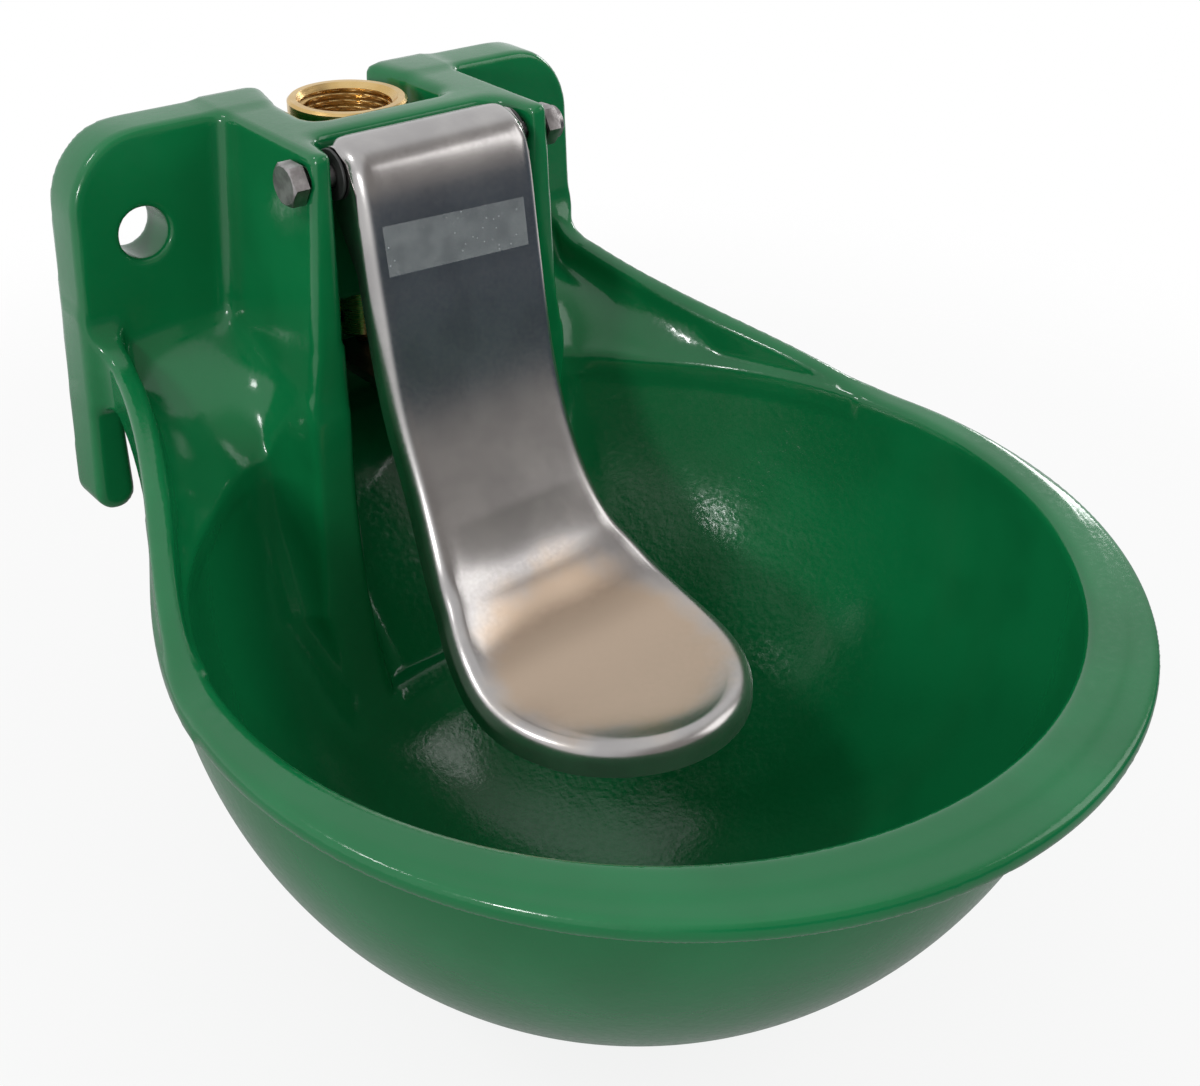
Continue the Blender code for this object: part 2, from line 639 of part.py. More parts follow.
def tongue():
    """Press the tongue: a curved front, its sides and tip rolled back into a short flange."""
    rows = [0.765 * i / 24 for i in range(24)]
    rows += [0.765 + 0.235 * math.sin(math.radians(11 * i)) / math.sin(math.radians(77)) for i in range(8)]
    spine = tongue_spine(rows)
    tangent = np.gradient(spine, axis=0)
    tangent /= np.linalg.norm(tangent, axis=1)[:, None]
    facing = np.stack([tangent[:, 1], -tangent[:, 0]], axis=1)
    length = np.concatenate([[0], np.cumsum(np.linalg.norm(np.diff(spine, axis=0), axis=1))])
    width = np.array([tongue_width(y, z) for y, z in spine])
    width[0] -= 0.0016
    width[1] -= 0.0004
    columns = 7
    across = np.linspace(-1, 1, columns)
    points = []
    flat = []
    frames = []
    for i, (y, z) in enumerate(spine):
        on_pad = min(max((PAD_MIDDLE_Y + 0.026 - y) / 0.02, 0.0), 1.0)
        for c in across:
            dish = PAD_DISH * on_pad * (1 - abs(c) ** 3) * min((len(spine) - 1 - i) / 4, 1.0)
            x = c * width[i]
            points.append((x, y - facing[i][0] * dish, z - facing[i][1] * dish))
            flat.append((length[i], x))
            frames.append((tangent[i], facing[i]))
    faces = []
    for i in range(len(spine) - 1):
        for j in range(columns - 1):
            a = i * columns + j
            faces.append((a, a + 1, a + columns + 1, a + columns))
    last_row = (len(spine) - 1) * columns
    border = [i * columns + columns - 1 for i in range(len(spine))]
    border += [last_row + j for j in range(columns - 2, -1, -1)]
    border += [i * columns for i in range(len(spine) - 2, -1, -1)]
    along = np.gradient(np.array([flat[i] for i in border]), axis=0)
    outward = np.stack([-along[:, 1], along[:, 0]], axis=1)
    outward /= np.linalg.norm(outward, axis=1)[:, None]
    if outward[5][1] < 0:
        outward = -outward
    from_top = np.array([vertex // columns for vertex in border])
    skirt = np.interp(from_top, [3, 6], [0.0004, 0.0035])
    previous = border
    steps = [(math.sin(math.radians(a)), 1 - math.cos(math.radians(a)), 0) for a in (35, 65, 90)]
    steps.append((1.0, 1.0, 1))
    for reach, drop, flange in steps:
        loop = []
        for n, vertex in enumerate(border):
            direction, front = frames[vertex]
            x, y, z = points[vertex]
            out = outward[n] * TONGUE_ROLL * reach
            down = TONGUE_ROLL * drop + skirt[n] * flange
            y += direction[0] * out[0] - front[0] * down
            z += direction[1] * out[0] - front[1] * down
            loop.append(len(points))
            points.append((x + out[1], y, z))
        for n in range(len(border) - 1):
            faces.append((previous[n], previous[n + 1], loop[n + 1], loop[n]))
        previous = loop
    obj = mesh_object("paddle", points, faces, (0, PIVOT_Y, PIVOT_Z))
    obj.data.update()
    top = obj.data.polygons[10 * (columns - 1) + 4].normal
    if top.y > 0:
        obj.data.flip_normals()
    sheet = obj.modifiers.new("sheet", "SOLIDIFY")
    sheet.thickness = TONGUE_SHEET
    sheet.offset = -1.0
    sheet.use_even_offset = True
    for side in (1, -1):
        combine(obj, cheek(side), "UNION")
    clear = BOLT_RADIUS + 2 * GAP + BUSH_WALL
    bore = rod("cheek_bore", [(clear, -0.05), (clear, 0.05)])
    lay_along(bore, (1, 0, 0))
    bore.location = (0, PIVOT_Y, PIVOT_Z)
    combine(obj, bore, "DIFFERENCE")
    return finish(obj, STAINLESS)


def cheek(side):
    """Return the side of the tongue that folds back round the pivot."""
    outline = arc((PIVOT_Y, PIVOT_Z), EYE_RADIUS, -60, 100, 11)
    outline += [(PIVOT_Y - 0.0060, PIVOT_Z + 0.0040), (PIVOT_Y - 0.0095, PIVOT_Z - 0.0030)]
    outline += [(PIVOT_Y - 0.0110, PIVOT_Z - 0.0200), (PIVOT_Y - 0.0130, PIVOT_Z - 0.0340)]
    outline += [(PIVOT_Y - 0.0070, PIVOT_Z - 0.0230)]
    outer = TONGUE_HALF - 0.0001
    inner = TONGUE_HALF - TONGUE_SHEET + 0.0001
    rings = [[(side * x, y, z) for y, z in outline] for x in (inner, outer)]
    return loft("cheek", rings, (0, PIVOT_Y, PIVOT_Z))


def bolt_seat():
    """Return how far from the middle the bolt's head and the nut sit on the drafted walls."""
    return housing_half(PIVOT_Z - BOLT_ACROSS_FLATS / 2) + 0.0010 + GAP


def pivot_bolt():
    """Build the hexagon bolt, with its head outside the left housing wall."""
    seat = bolt_seat()
    end = seat + NUT_HEIGHT + BOLT_PAST
    corner = BOLT_ACROSS_FLATS / 2 / math.cos(math.pi / 6)
    count = 24
    rings = [
        hexagon(BOLT_ACROSS_FLATS, -seat - HEAD_HEIGHT, BOLT_ACROSS_FLATS / 2 * 0.96),
        hexagon(BOLT_ACROSS_FLATS, -seat - HEAD_HEIGHT + 0.0007, corner),
        hexagon(BOLT_ACROSS_FLATS, -seat, corner),
        circle(BOLT_RADIUS, -seat, count=count),
        circle(BOLT_RADIUS, end - 0.0008, count=count),
        circle(BOLT_RADIUS - 0.0008, end, count=count),
    ]
    bolt = loft("pivot_bolt", rings)
    lay_along(bolt, (1, 0, 0))
    bolt.location = (0, PIVOT_Y, PIVOT_Z)
    return finish(bolt, ZINC)


def pivot_nut():
    """Build the lock nut on the bolt's right end, and the nylon ring that its collar holds."""
    seat = bolt_seat()
    corner = BOLT_ACROSS_FLATS / 2 / math.cos(math.pi / 6)
    bore = BOLT_RADIUS + GAP
    count = 24
    collar = 0.0056
    rings = [
        circle(bore, seat, count=count),
        hexagon(BOLT_ACROSS_FLATS, seat, BOLT_ACROSS_FLATS / 2 * 0.97),
        hexagon(BOLT_ACROSS_FLATS, seat + 0.0006, corner),
        hexagon(BOLT_ACROSS_FLATS, seat + NUT_HEIGHT - 0.0024, corner),
        hexagon(BOLT_ACROSS_FLATS, seat + NUT_HEIGHT - 0.0019, BOLT_ACROSS_FLATS / 2 * 0.97),
        circle(collar, seat + NUT_HEIGHT - 0.0018, count=count),
        circle(collar, seat + NUT_HEIGHT - 0.0003, count=count),
        circle(collar - 0.0003, seat + NUT_HEIGHT, count=count),
        circle(collar - 0.0007, seat + NUT_HEIGHT, count=count),
        circle(collar - 0.0007, seat + NUT_HEIGHT - 0.0018, count=count),
        circle(bore, seat + NUT_HEIGHT - 0.0018, count=count),
    ]
    nut = loft("pivot_nut", rings, closed=True)
    lay_along(nut, (1, 0, 0))
    nut.location = (0, PIVOT_Y, PIVOT_Z)
    finish(nut, ZINC)
    low = seat + NUT_HEIGHT - 0.0015
    high = seat + NUT_HEIGHT - 0.0002
    ring = [(bore, low), (collar - 0.0010, low), (collar - 0.0010, high), (bore, high)]
    insert = turned("nut_insert", ring)
    lay_along(insert, (1, 0, 0))
    insert.location = (0, PIVOT_Y, PIVOT_Z)
    finish(insert, BLUE_NYLON)
    return [nut, insert]


def pivot_sleeves():
    """Build the spacer tube on the bolt and the flanged bushes at its ends."""
    bore = BOLT_RADIUS + GAP
    flange_inner = TONGUE_HALF + GAP
    flange_outer = flange_inner + 0.0008
    flange = EYE_RADIUS - GAP
    body_end = TONGUE_HALF - 0.0055
    body = bore + BUSH_WALL
    made = []
    for side, name in ((-1, "bush_left"), (1, "bush_right")):
        outline = [(bore, body_end), (body, body_end), (body, flange_inner), (flange, flange_inner)]
        outline += [(flange, flange_outer), (bore, flange_outer)]
        bush = turned(name, outline)
        lay_along(bush, (side, 0, 0))
        bush.location = (0, PIVOT_Y, PIVOT_Z)
        made.append(finish(bush, NYLON))
    reach = body_end - GAP
    wall = bore + TUBE_WALL
    outline = [(bore, -reach), (wall, -reach), (wall, reach), (bore, reach)]
    tube = turned("pivot_tube", outline)
    lay_along(tube, (1, 0, 0))
    tube.location = (0, PIVOT_Y, PIVOT_Z)
    return made, finish(tube, ZINC)


def lever_plate():
    """Bend the steel angle behind the tongue, which reaches back under the stem."""
    spine = tongue_spine(np.linspace(0, 1, 120))
    rear = VALVE_Y + OUTLET_RADIUS

    def behind(z):
        order = np.argsort(spine[30:100, 1])
        y = np.interp(z, spine[30:100, 1][order], spine[30:100, 0][order])
        return y + TONGUE_SHEET + 0.0008

    low = LEVER_TOP - LEVER_SHEET
    high = 0.034
    middle = (low + high) / 2
    outline = [
        (rear, LEVER_TOP),
        (rear, low),
        (behind(low), low),
        (behind(middle), middle),
        (behind(high), high),
        (behind(high) + LEVER_SHEET, high),
        (behind(middle) + LEVER_SHEET, middle),
        (behind(LEVER_TOP + 0.001) + LEVER_SHEET, LEVER_TOP + 0.001),
        (behind(LEVER_TOP) + LEVER_SHEET + 0.001, LEVER_TOP),
    ]
    rings = [[(x, y, z) for y, z in outline] for x in (-LEVER_HALF, LEVER_HALF)]
    plate = loft("lever_plate", rings, (0, PIVOT_Y, PIVOT_Z))
    return finish(plate, STAINLESS)


def valve_heights():
    """Return the heights of the valve's inner stack, from its floor up."""
    floor = WEB_TOP + 0.0020
    ring_top = floor + GAP + 0.0016
    seat_low = ring_top + GAP
    seat_high = seat_low + 0.0024
    seal_low = seat_high + GAP
    seal_high = seal_low + 0.0015
    head_low = seal_high + GAP
    head_high = head_low + 0.0016
    spring_low = head_high + GAP
    shoulder = spring_low + 0.0080
    return {
        "floor": floor,
        "ring_top": ring_top,
        "seat_low": seat_low,
        "seat_high": seat_high,
        "seal_low": seal_low,
        "seal_high": seal_high,
        "head_low": head_low,
        "head_high": head_high,
        "spring_low": spring_low,
        "shoulder": shoulder,
    }


def valve_body():
    """Turn the brass body, then drill its ports and the hole of the flow screw."""
    level = valve_heights()
    flange = WEB_TOP + 2 * GAP + GASKET_HEIGHT
    outline = [
        (THREAD_RADIUS + 0.0016, VALVE_TOP),
        (VALVE_RADIUS - 0.0007, VALVE_TOP),
        (VALVE_RADIUS, VALVE_TOP - 0.0007),
        (VALVE_RADIUS, flange),
        (SHANK_RADIUS, flange),
        (SHANK_RADIUS, SHANK_BOTTOM + 0.001),
        (SHANK_RADIUS - 0.001, SHANK_BOTTOM),
        (STEM_RADIUS + GAP, SHANK_BOTTOM),
        (STEM_RADIUS + GAP, SHANK_BOTTOM + 0.0025),
        (OUTLET_RADIUS, SHANK_BOTTOM + 0.0025),
        (OUTLET_RADIUS, level["floor"]),
        (CAVITY_RADIUS, level["floor"]),
        (CAVITY_RADIUS, level["shoulder"]),
        (CAP_SEAT_RADIUS, level["shoulder"]),
        (CAP_SEAT_RADIUS, level["shoulder"] + 0.0052),
        (THREAD_RADIUS, level["shoulder"] + 0.0052),
        (THREAD_RADIUS, VALVE_TOP - 0.0016),
    ]
    body = turned("valve_body", outline, ROUND, (0, VALVE_Y, 0))
    ports = rod("ports", [(PORT_RADIUS, -0.02), (PORT_RADIUS, 0.02)], 20)
    lay_along(ports, (1, 0, 0))
    ports.location = (0, VALVE_Y, PORT_Z)
    combine(body, ports, "DIFFERENCE")
    drill = rod("drill", [(0.0025, 0.0), (0.0025, 0.02)], 20)
    lay_along(drill, (0, -1, 0))
    drill.location = (0, VALVE_Y, FLOW_SCREW_Z)
    combine(body, drill, "DIFFERENCE")
    return finish(body, BRASS)


def valve_clamp():
    """Build the gasket above the web, and the washer and nut below it."""
    low = WEB_TOP + GAP
    bore = SHANK_RADIUS + GAP
    high = low + GASKET_HEIGHT
    gasket = [(bore, low), (GASKET_RADIUS, low), (GASKET_RADIUS, high), (bore, high)]
    made = [finish(turned("valve_gasket", gasket, 24, (0, VALVE_Y, 0)), FIBRE)]
    under = WEB_TOP - WEB_THICKNESS - GAP
    foot = under - GASKET_HEIGHT
    wide = LOCK_NUT_FLATS / 2 + 0.0002
    washer = [(bore, foot), (wide, foot), (wide, under), (bore, under)]
    made.append(finish(turned("lock_washer", washer, 24, (0, VALVE_Y, 0)), ZINC))
    top = foot - GAP
    nut_height = 0.0055
    corner = LOCK_NUT_FLATS / 2 / math.cos(math.pi / 6)
    rings = [
        circle(bore, top - nut_height, count=24),
        hexagon(LOCK_NUT_FLATS, top - nut_height, LOCK_NUT_FLATS / 2 * 0.98),
        hexagon(LOCK_NUT_FLATS, top - nut_height + 0.0006, corner),
        hexagon(LOCK_NUT_FLATS, top - 0.0006, corner),
        hexagon(LOCK_NUT_FLATS, top, LOCK_NUT_FLATS / 2 * 0.98),
        circle(bore, top, count=24),
    ]
    nut = loft("valve_lock_nut", rings, closed=True)
    nut.location = (0, VALVE_Y, 0)
    made.append(finish(nut, BRASS))
    return made


def o_ring(name, radius, section, centre, axis=(0, 0, 1)):
    """Build a rubber ring of round section."""
    outline = arc((radius, 0), section, 0, 300, 6)
    ring = turned(name, outline, 22)
    lay_along(ring, axis)
    ring.location = centre
    return finish(ring, RUBBER)


def valve_seat():
    """Build the nylon seat that the seal closes on, and the ring under it."""
    level = valve_heights()
    centre = (level["floor"] + GAP + level["ring_top"]) / 2
    made = [o_ring("seat_o_ring", 0.0068, 0.0008, (0, VALVE_Y, centre))]
    low = level["seat_low"]
    high = level["seat_high"]
    wide = CAVITY_RADIUS - GAP
    bore = STEM_RADIUS + 0.0011
    outline = [(bore, low), (wide, low), (wide, high - 0.0007), (bore + 0.0019, high - 0.0007)]
    outline += [(bore + 0.0015, high), (bore + 0.0007, high)]
    made.append(finish(turned("seat_insert", outline, 24, (0, VALVE_Y, 0)), NYLON))
    return made


def valve_stem():
    """Build the moving stem and the rubber disc under its head."""
    level = valve_heights()
    tip = LEVER_TOP + GAP
    profile = [
        (0.0012, tip),
        (STEM_RADIUS, tip + 0.0010),
        (STEM_RADIUS, level["head_low"]),
        (STEM_HEAD_RADIUS, level["head_low"]),
        (STEM_HEAD_RADIUS, level["head_high"]),
        (0.0026, level["head_high"]),
        (0.0026, level["head_high"] + 0.0026),
        (0.0018, level["head_high"] + 0.0032),
    ]
    stem = rod("valve_stem", profile, SMALL_ROUND, (0, VALVE_Y, 0))
    finish(stem, BRASS)
    low = level["seal_low"]
    high = level["seal_high"]
    wide = STEM_HEAD_RADIUS - 0.0002
    outline = [(STEM_RADIUS + GAP, low), (wide, low), (wide, high), (STEM_RADIUS + GAP, high)]
    seal = turned("stem_seal", outline, 24, (0, VALVE_Y, 0))
    return [stem, finish(seal, RUBBER)]


def valve_spring():
    """Wind the closing spring between the stem's head and the cap."""
    level = valve_heights()
    low = level["spring_low"] + SPRING_WIRE
    high = level["shoulder"] - SPRING_WIRE
    steps = SPRING_TURNS * 12
    rings = []
    for i in range(steps + 1):
        share = i / steps
        angle = 2 * math.pi * SPRING_TURNS * share
        out = Vector((math.cos(angle), math.sin(angle), 0))
        middle = SPRING_RADIUS * out + Vector((0, 0, low + (high - low) * share))
        up = Vector((0, 0, 1))
        ring = []
        for k in range(5):
            turn = 2 * math.pi * k / 5
            ring.append(middle + SPRING_WIRE * (math.cos(turn) * out + math.sin(turn) * up))
        rings.append(ring)
    spring = loft("valve_spring", rings)
    spring.location = (0, VALVE_Y, 0)
    return finish(spring, SPRING_STEEL)


def inlet_parts():
    """Build the spring's cap, the sieve above it and the ring that keeps both in the inlet."""
    base = valve_heights()["shoulder"] + GAP
    cap_top = base + 0.0016
    wide = CAP_SEAT_RADIUS - GAP
    outline = [(0.0012, base), (wide, base), (wide, cap_top), (0.0012, cap_top)]
    cap = turned("spring_cap", outline, 24, (0, VALVE_Y, 0))
    for i in range(6):
        angle = 2 * math.pi * (i + 0.23) / 6
        hole = rod("cap_hole", [(0.0015, base - 0.005), (0.0015, cap_top + 0.005)], 10)
        hole.location = (0.0070 * math.cos(angle), VALVE_Y + 0.0070 * math.sin(angle), 0)
        combine(cap, hole, "DIFFERENCE")
    finish(cap, BRASS)
    low = cap_top + GAP
    outline = [
        (wide, low),
        (wide, low + 0.0009),
        (0.0082, low + 0.0009),
        (0.0070, low + 0.0048),
        (0.0010, low + 0.0055),
        (0.0010, low + 0.0048),
        (0.0064, low + 0.0042),
        (0.0075, low),
    ]
    sieve = turned("inlet_strainer", outline, 24, (0, VALVE_Y, 0))
    for i in range(8):
        angle = 2 * math.pi * (i + 0.37) / 8
        hole = rod("sieve_hole", [(0.0007, 0.0), (0.0007, 0.0045)], 10)
        lay_along(hole, (math.cos(angle), math.sin(angle), 0.3))
        hole.location = (0.0055 * math.cos(angle), VALVE_Y + 0.0055 * math.sin(angle), low + 0.0020)
        combine(sieve, hole, "DIFFERENCE")
    finish(sieve, STAINLESS)
    ring_low = low + 0.0009 + GAP
    ring_high = ring_low + 0.0010
    outline = [(wide - 0.0017, ring_low), (wide, ring_low), (wide, ring_high), (wide - 0.0017, ring_high)]
    ring = turned("strainer_ring", outline, 24, (0, VALVE_Y, 0))
    gap_cut = box("gap_cut", (-0.0015, -0.02, 0.0), (0.0015, 0.0, 0.2))
    gap_cut.location = (0, VALVE_Y, 0)
    combine(ring, gap_cut, "DIFFERENCE")
    return [cap, sieve, finish(ring, SPRING_STEEL)]


def flow_screw():
    """Build the side screw that narrows the outlet, and its sealing ring."""
    front = SHANK_RADIUS + 2 * GAP + 0.0010
    profile = [
        (0.0014, 0.0029),
        (STEM_RADIUS, 0.0038),
        (STEM_RADIUS, front),
        (0.0038, front),
        (0.0038, front + 0.0022),
        (0.0034, front + 0.0026),
    ]
    screw = rod("flow_screw", profile, 24)
    slot = box("slot", (-0.005, -0.0005, front + 0.0014), (0.005, 0.0005, front + 0.004))
    combine(screw, slot, "DIFFERENCE")
    lay_along(screw, (0, -1, 0))
    screw.location = (0, VALVE_Y, FLOW_SCREW_Z)
    finish(screw, BRASS)
    centre = (0, VALVE_Y - SHANK_RADIUS - GAP - 0.0005, FLOW_SCREW_Z)
    ring = o_ring("flow_screw_o_ring", 0.0031, 0.0005, centre, (0, -1, 0))
    return [screw, ring]


def hang(name, place, pieces):
    """Parent pieces to an empty on their joint's axis, leaving them where they are."""
    empty = bpy.data.objects.new(name, None)
    empty.location = place
    bpy.context.scene.collection.objects.link(empty)
    bpy.context.view_layer.update()
    for piece in pieces:
        piece.parent = empty
        piece.matrix_parent_inverse = Matrix.Translation(-Vector(place))
    return empty


def main():
    clear_scene()
    bowl_casting()
    pivot_bolt()
    pivot_nut()
    bushes, _ = pivot_sleeves()
    hang("tongue_pivot", (0, PIVOT_Y, PIVOT_Z), [tongue(), lever_plate(), *bushes])
    valve_body()
    valve_clamp()
    valve_seat()
    inlet_parts()
    flow_screw()
    hang("stem_slide", (0, VALVE_Y, LEVER_TOP), [*valve_stem(), valve_spring()])


main()
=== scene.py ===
"""Livestock drinking bowl, dressed: green enamelled casting, pressed steel tongue, brass inlet valve.

Metres, in the frame of the CAD: the wall is y = 0, the bowl lies towards -Y, the rim's top is z = 0.
"""

import itertools
import logging
import math
from dataclasses import dataclass, field
from enum import Enum
from typing import Any

import bmesh
import bpy
import numpy as np
from mathutils import Matrix, Vector

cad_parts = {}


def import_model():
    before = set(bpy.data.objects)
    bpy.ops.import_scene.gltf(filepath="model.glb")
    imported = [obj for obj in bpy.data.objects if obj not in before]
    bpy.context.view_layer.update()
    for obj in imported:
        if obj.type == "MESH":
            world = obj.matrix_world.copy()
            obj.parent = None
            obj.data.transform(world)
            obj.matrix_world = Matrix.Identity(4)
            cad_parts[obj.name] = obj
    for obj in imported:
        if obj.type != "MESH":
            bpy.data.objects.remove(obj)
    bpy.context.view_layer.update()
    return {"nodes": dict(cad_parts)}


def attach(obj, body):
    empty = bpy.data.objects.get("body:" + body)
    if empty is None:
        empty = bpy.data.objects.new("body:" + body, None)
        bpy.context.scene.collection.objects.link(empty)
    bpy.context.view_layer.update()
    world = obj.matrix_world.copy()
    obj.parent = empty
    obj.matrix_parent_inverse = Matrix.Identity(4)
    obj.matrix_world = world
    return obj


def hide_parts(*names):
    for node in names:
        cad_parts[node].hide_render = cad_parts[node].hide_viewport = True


log = logging.getLogger("drinking_bowl")

Array = np.ndarray
Pair = tuple[float, float]
Triple = tuple[float, float, float]


class Body(Enum):
    """The bodies that the pieces ride on."""

    BASE = "base"
    TONGUE = "tongue"
    STEM = "stem"


class Axis(Enum):
    """The direction that a turned piece's own +Z is laid along."""

    UP = (0.0, 0.0, 1.0)
    RIGHT = (1.0, 0.0, 0.0)
    LEFT = (-1.0, 0.0, 0.0)
    FRONT = (0.0, -1.0, 0.0)


# shapes worked out with numpy


def blend_min(first: Array, second: Array, reach: float | Array) -> Array:
    """Join two solids given as distances, with a fillet where they meet.

    Formula: the lesser of the two, less (reach - |first - second|)^2 / (4 reach) where that
    bracket is positive. The fillet's radius comes out at about 0.6 of reach.

    Args:
        first: Distance to the first solid, negative inside.
        second: Distance to the second solid.
        reach: How far from the corner the fillet begins.

    Returns:
        The distance to the joined solid.
    """
    near = np.maximum(reach - np.abs(first - second), 0.0)
    return np.minimum(first, second) - near * near / (4 * reach)


def blend_max(first: Array, second: Array, reach: float | Array) -> Array:
    """Keep what two solids share, with a rounded edge: blend_min of both turned inside out."""
    return -blend_min(-first, -second, reach)


def outline_distance(u: Array, v: Array, outline: Array) -> Array:
    """Measure how far plane points are from a closed outline, negative inside.

    Formula: the least distance to any side of the outline, with the sign changed where a ray
    from the point crosses the sides an odd number of times.

    Args:
        u: First coordinate of the points.
        v: Second coordinate, of a shape that broadcasts with u.
        outline: Corners of the outline, one row each.

    Returns:
        The signed distance, in the broadcast shape.
    """
    u, v = np.broadcast_arrays(u, v)
    best = np.full(u.shape, 1e9)
    inside = np.zeros(u.shape, bool)
    for start, end in zip(outline, np.roll(outline, -1, axis=0)):
        along = end - start
        share = ((u - start[0]) * along[0] + (v - start[1]) * along[1]) / max(float(along @ along), 1e-18)
        share = np.clip(share, 0, 1)
        gap = (u - start[0] - share * along[0]) ** 2 + (v - start[1] - share * along[1]) ** 2
        best = np.minimum(best, gap)
        if start[1] != end[1]:
            crosses = (start[1] > v) != (end[1] > v)
            at = start[0] + (v - start[1]) / (end[1] - start[1]) * along[0]
            inside ^= crosses & (u < at)
    return np.where(inside, -1, 1) * np.sqrt(best)


def slab(plan: Array, height: Array, low: float, high: float, edge: float) -> Array:
    """Raise a plan distance to a plate between two heights, its edges rounded by the radius edge."""
    beside = plan + edge
    above = np.abs(height - (low + high) / 2) - (high - low) / 2 + edge
    corner = np.hypot(np.maximum(beside, 0), np.maximum(above, 0))
    return corner + np.minimum(np.maximum(beside, above), 0) - edge


def ellipsoid(x: Array, y: Array, z: Array, radius: float, depth: float) -> Array:
    """Give the distance to an ellipsoid: k (k - 1) / g, with k the scaled radius and g its slope."""
    scaled = np.sqrt((x * x + y * y) / radius**2 + z * z / depth**2)
    slope = np.sqrt((x * x + y * y) / radius**4 + z * z / depth**4)
    return scaled * (scaled - 1) / np.maximum(slope, 1e-6)


def mean_value_surface(x: Array, y: Array, border: Array) -> Array:
    """Stretch a smooth skin over a closed border whose corners have heights.

    Formula: mean value coordinates. A corner's weight is the sum of the tangents of half the
    angles to its two neighbours, seen from the point, over its distance from the point.

    Args:
        x: Plan coordinates of the points.
        y: Plan coordinates of the points.
        border: Rows of x, y, z round the border.

    Returns:
        The skin's height at every point.
    """
    shape = np.broadcast(x, y).shape
    place = np.stack(np.broadcast_arrays(x, y), axis=-1).reshape(-1, 1, 2)
    spoke = border[None, :, :2] - place
    reach = np.maximum(np.linalg.norm(spoke, axis=2), 1e-7)
    after = np.roll(spoke, -1, axis=1)
    cross = spoke[..., 0] * after[..., 1] - spoke[..., 1] * after[..., 0]
    dot = (spoke * after).sum(axis=2)
    under = reach * np.roll(reach, -1, axis=1) + dot
    half = cross / np.where(np.abs(under) < 1e-12, 1e-12, under)
    weight = (half + np.roll(half, 1, axis=1)) / reach
    total = weight.sum(axis=1)
    total = np.where(np.abs(total) < 1e-9, 1e-9, total)
    return ((weight * border[None, :, 2]).sum(axis=1) / total).reshape(shape)


def arc(centre: Pair, radius: float, start: float, end: float, count: int) -> Array:
    """Return points of a plane arc, angles in degrees: centre plus radius times cosine and sine."""
    turn = np.radians(np.linspace(start, end, count))
    return np.stack([centre[0] + radius * np.cos(turn), centre[1] + radius * np.sin(turn)], axis=1)


def smooth_line(points: Array, count: int) -> Array:
    """Return points evenly spaced by length on a smooth curve through the given ones.

    Formula: between two given points, the cubic through both that leaves each along the line
    between its two neighbours, at half that line's length.

    Args:
        points: The given points, one row each.
        count: How many points to return.

    Returns:
        The new points, one row each.
    """
    ends = np.vstack([2 * points[0] - points[1], points, 2 * points[-1] - points[-2]])
    a, b, c, d = (ends[i : len(ends) - 3 + i, None, :] for i in range(4))
    t = np.linspace(0, 1, 24, endpoint=False)[None, :, None]
    square = 2 * a - 5 * b + 4 * c - d
    cube = 3 * b - a - 3 * c + d
    cubic = 0.5 * (2 * b + (c - a) * t + square * t**2 + cube * t**3)
    dense = np.vstack([cubic.reshape(-1, points.shape[1]), points[-1:]])
    length = np.concatenate([[0], np.cumsum(np.linalg.norm(np.diff(dense, axis=0), axis=1))])
    wanted = np.linspace(0, length[-1], count)
    return np.stack([np.interp(wanted, length, dense[:, n]) for n in range(points.shape[1])], axis=1)


def grid_faces(rows: int, columns: int, wrap_rows: bool = False, wrap_columns: bool = False) -> Array:
    """Number the quads of a grid of points, row after row, joined end to end where it wraps."""
    row = np.arange(rows if wrap_rows else rows - 1)[:, None]
    column = np.arange(columns if wrap_columns else columns - 1)[None, :]
    below = (row + 1) % rows * columns
    beside = (column + 1) % columns
    corners = [row * columns + column, row * columns + beside, below + beside, below + column]
    return np.stack(np.broadcast_arrays(*corners), axis=-1).reshape(-1, 4)


def make_piece(name: str, points: Array, faces: Array, sharp: float = 35.0) -> bpy.types.Object:
    """Make an object from arrays, merge its doubles, and turn its faces outwards.

    Args:
        name: Name of the piece.
        points: Points, one row each, in the frame of the CAD.
        faces: Rows of point numbers.
        sharp: Edges sharper than this many degrees are shaded sharp.

    Returns:
        The new object, at the origin.
    """
    mesh = bpy.data.meshes.new(name)
    mesh.from_pydata(points.reshape(-1, 3).tolist(), [], faces.tolist())
    shape = bmesh.new()
    shape.from_mesh(mesh)
    bmesh.ops.remove_doubles(shape, verts=shape.verts, dist=2e-6)
    bmesh.ops.recalc_face_normals(shape, faces=shape.faces)
    shape.to_mesh(mesh)
    shape.free()
    mesh.shade_smooth()
    mesh.set_sharp_from_angle(angle=math.radians(sharp))
    made = bpy.data.objects.new(name, mesh)
    bpy.context.scene.collection.objects.link(made)
    return made


def settle_modifiers(piece: bpy.types.Object, sharp: float = 35.0) -> None:
    """Apply a piece's modifiers and shade the result again."""
    bpy.context.view_layer.update()
    graph = bpy.context.evaluated_depsgraph_get()
    result = bpy.data.meshes.new_from_object(piece.evaluated_get(graph))
    piece.modifiers.clear()
    piece.data = result
    result.shade_smooth()
    result.set_sharp_from_angle(angle=math.radians(sharp))


def cut(piece: bpy.types.Object, tool: bpy.types.Object, operation: str = "DIFFERENCE") -> None:
    """Cut a tool out of a piece, or join it on, and remove the tool."""
    step = piece.modifiers.new("cut", "BOOLEAN")
    step.object = tool
    step.operation = operation
    step.solver = "MANIFOLD"
    settle_modifiers(piece)
    bpy.data.objects.remove(tool, do_unlink=True)


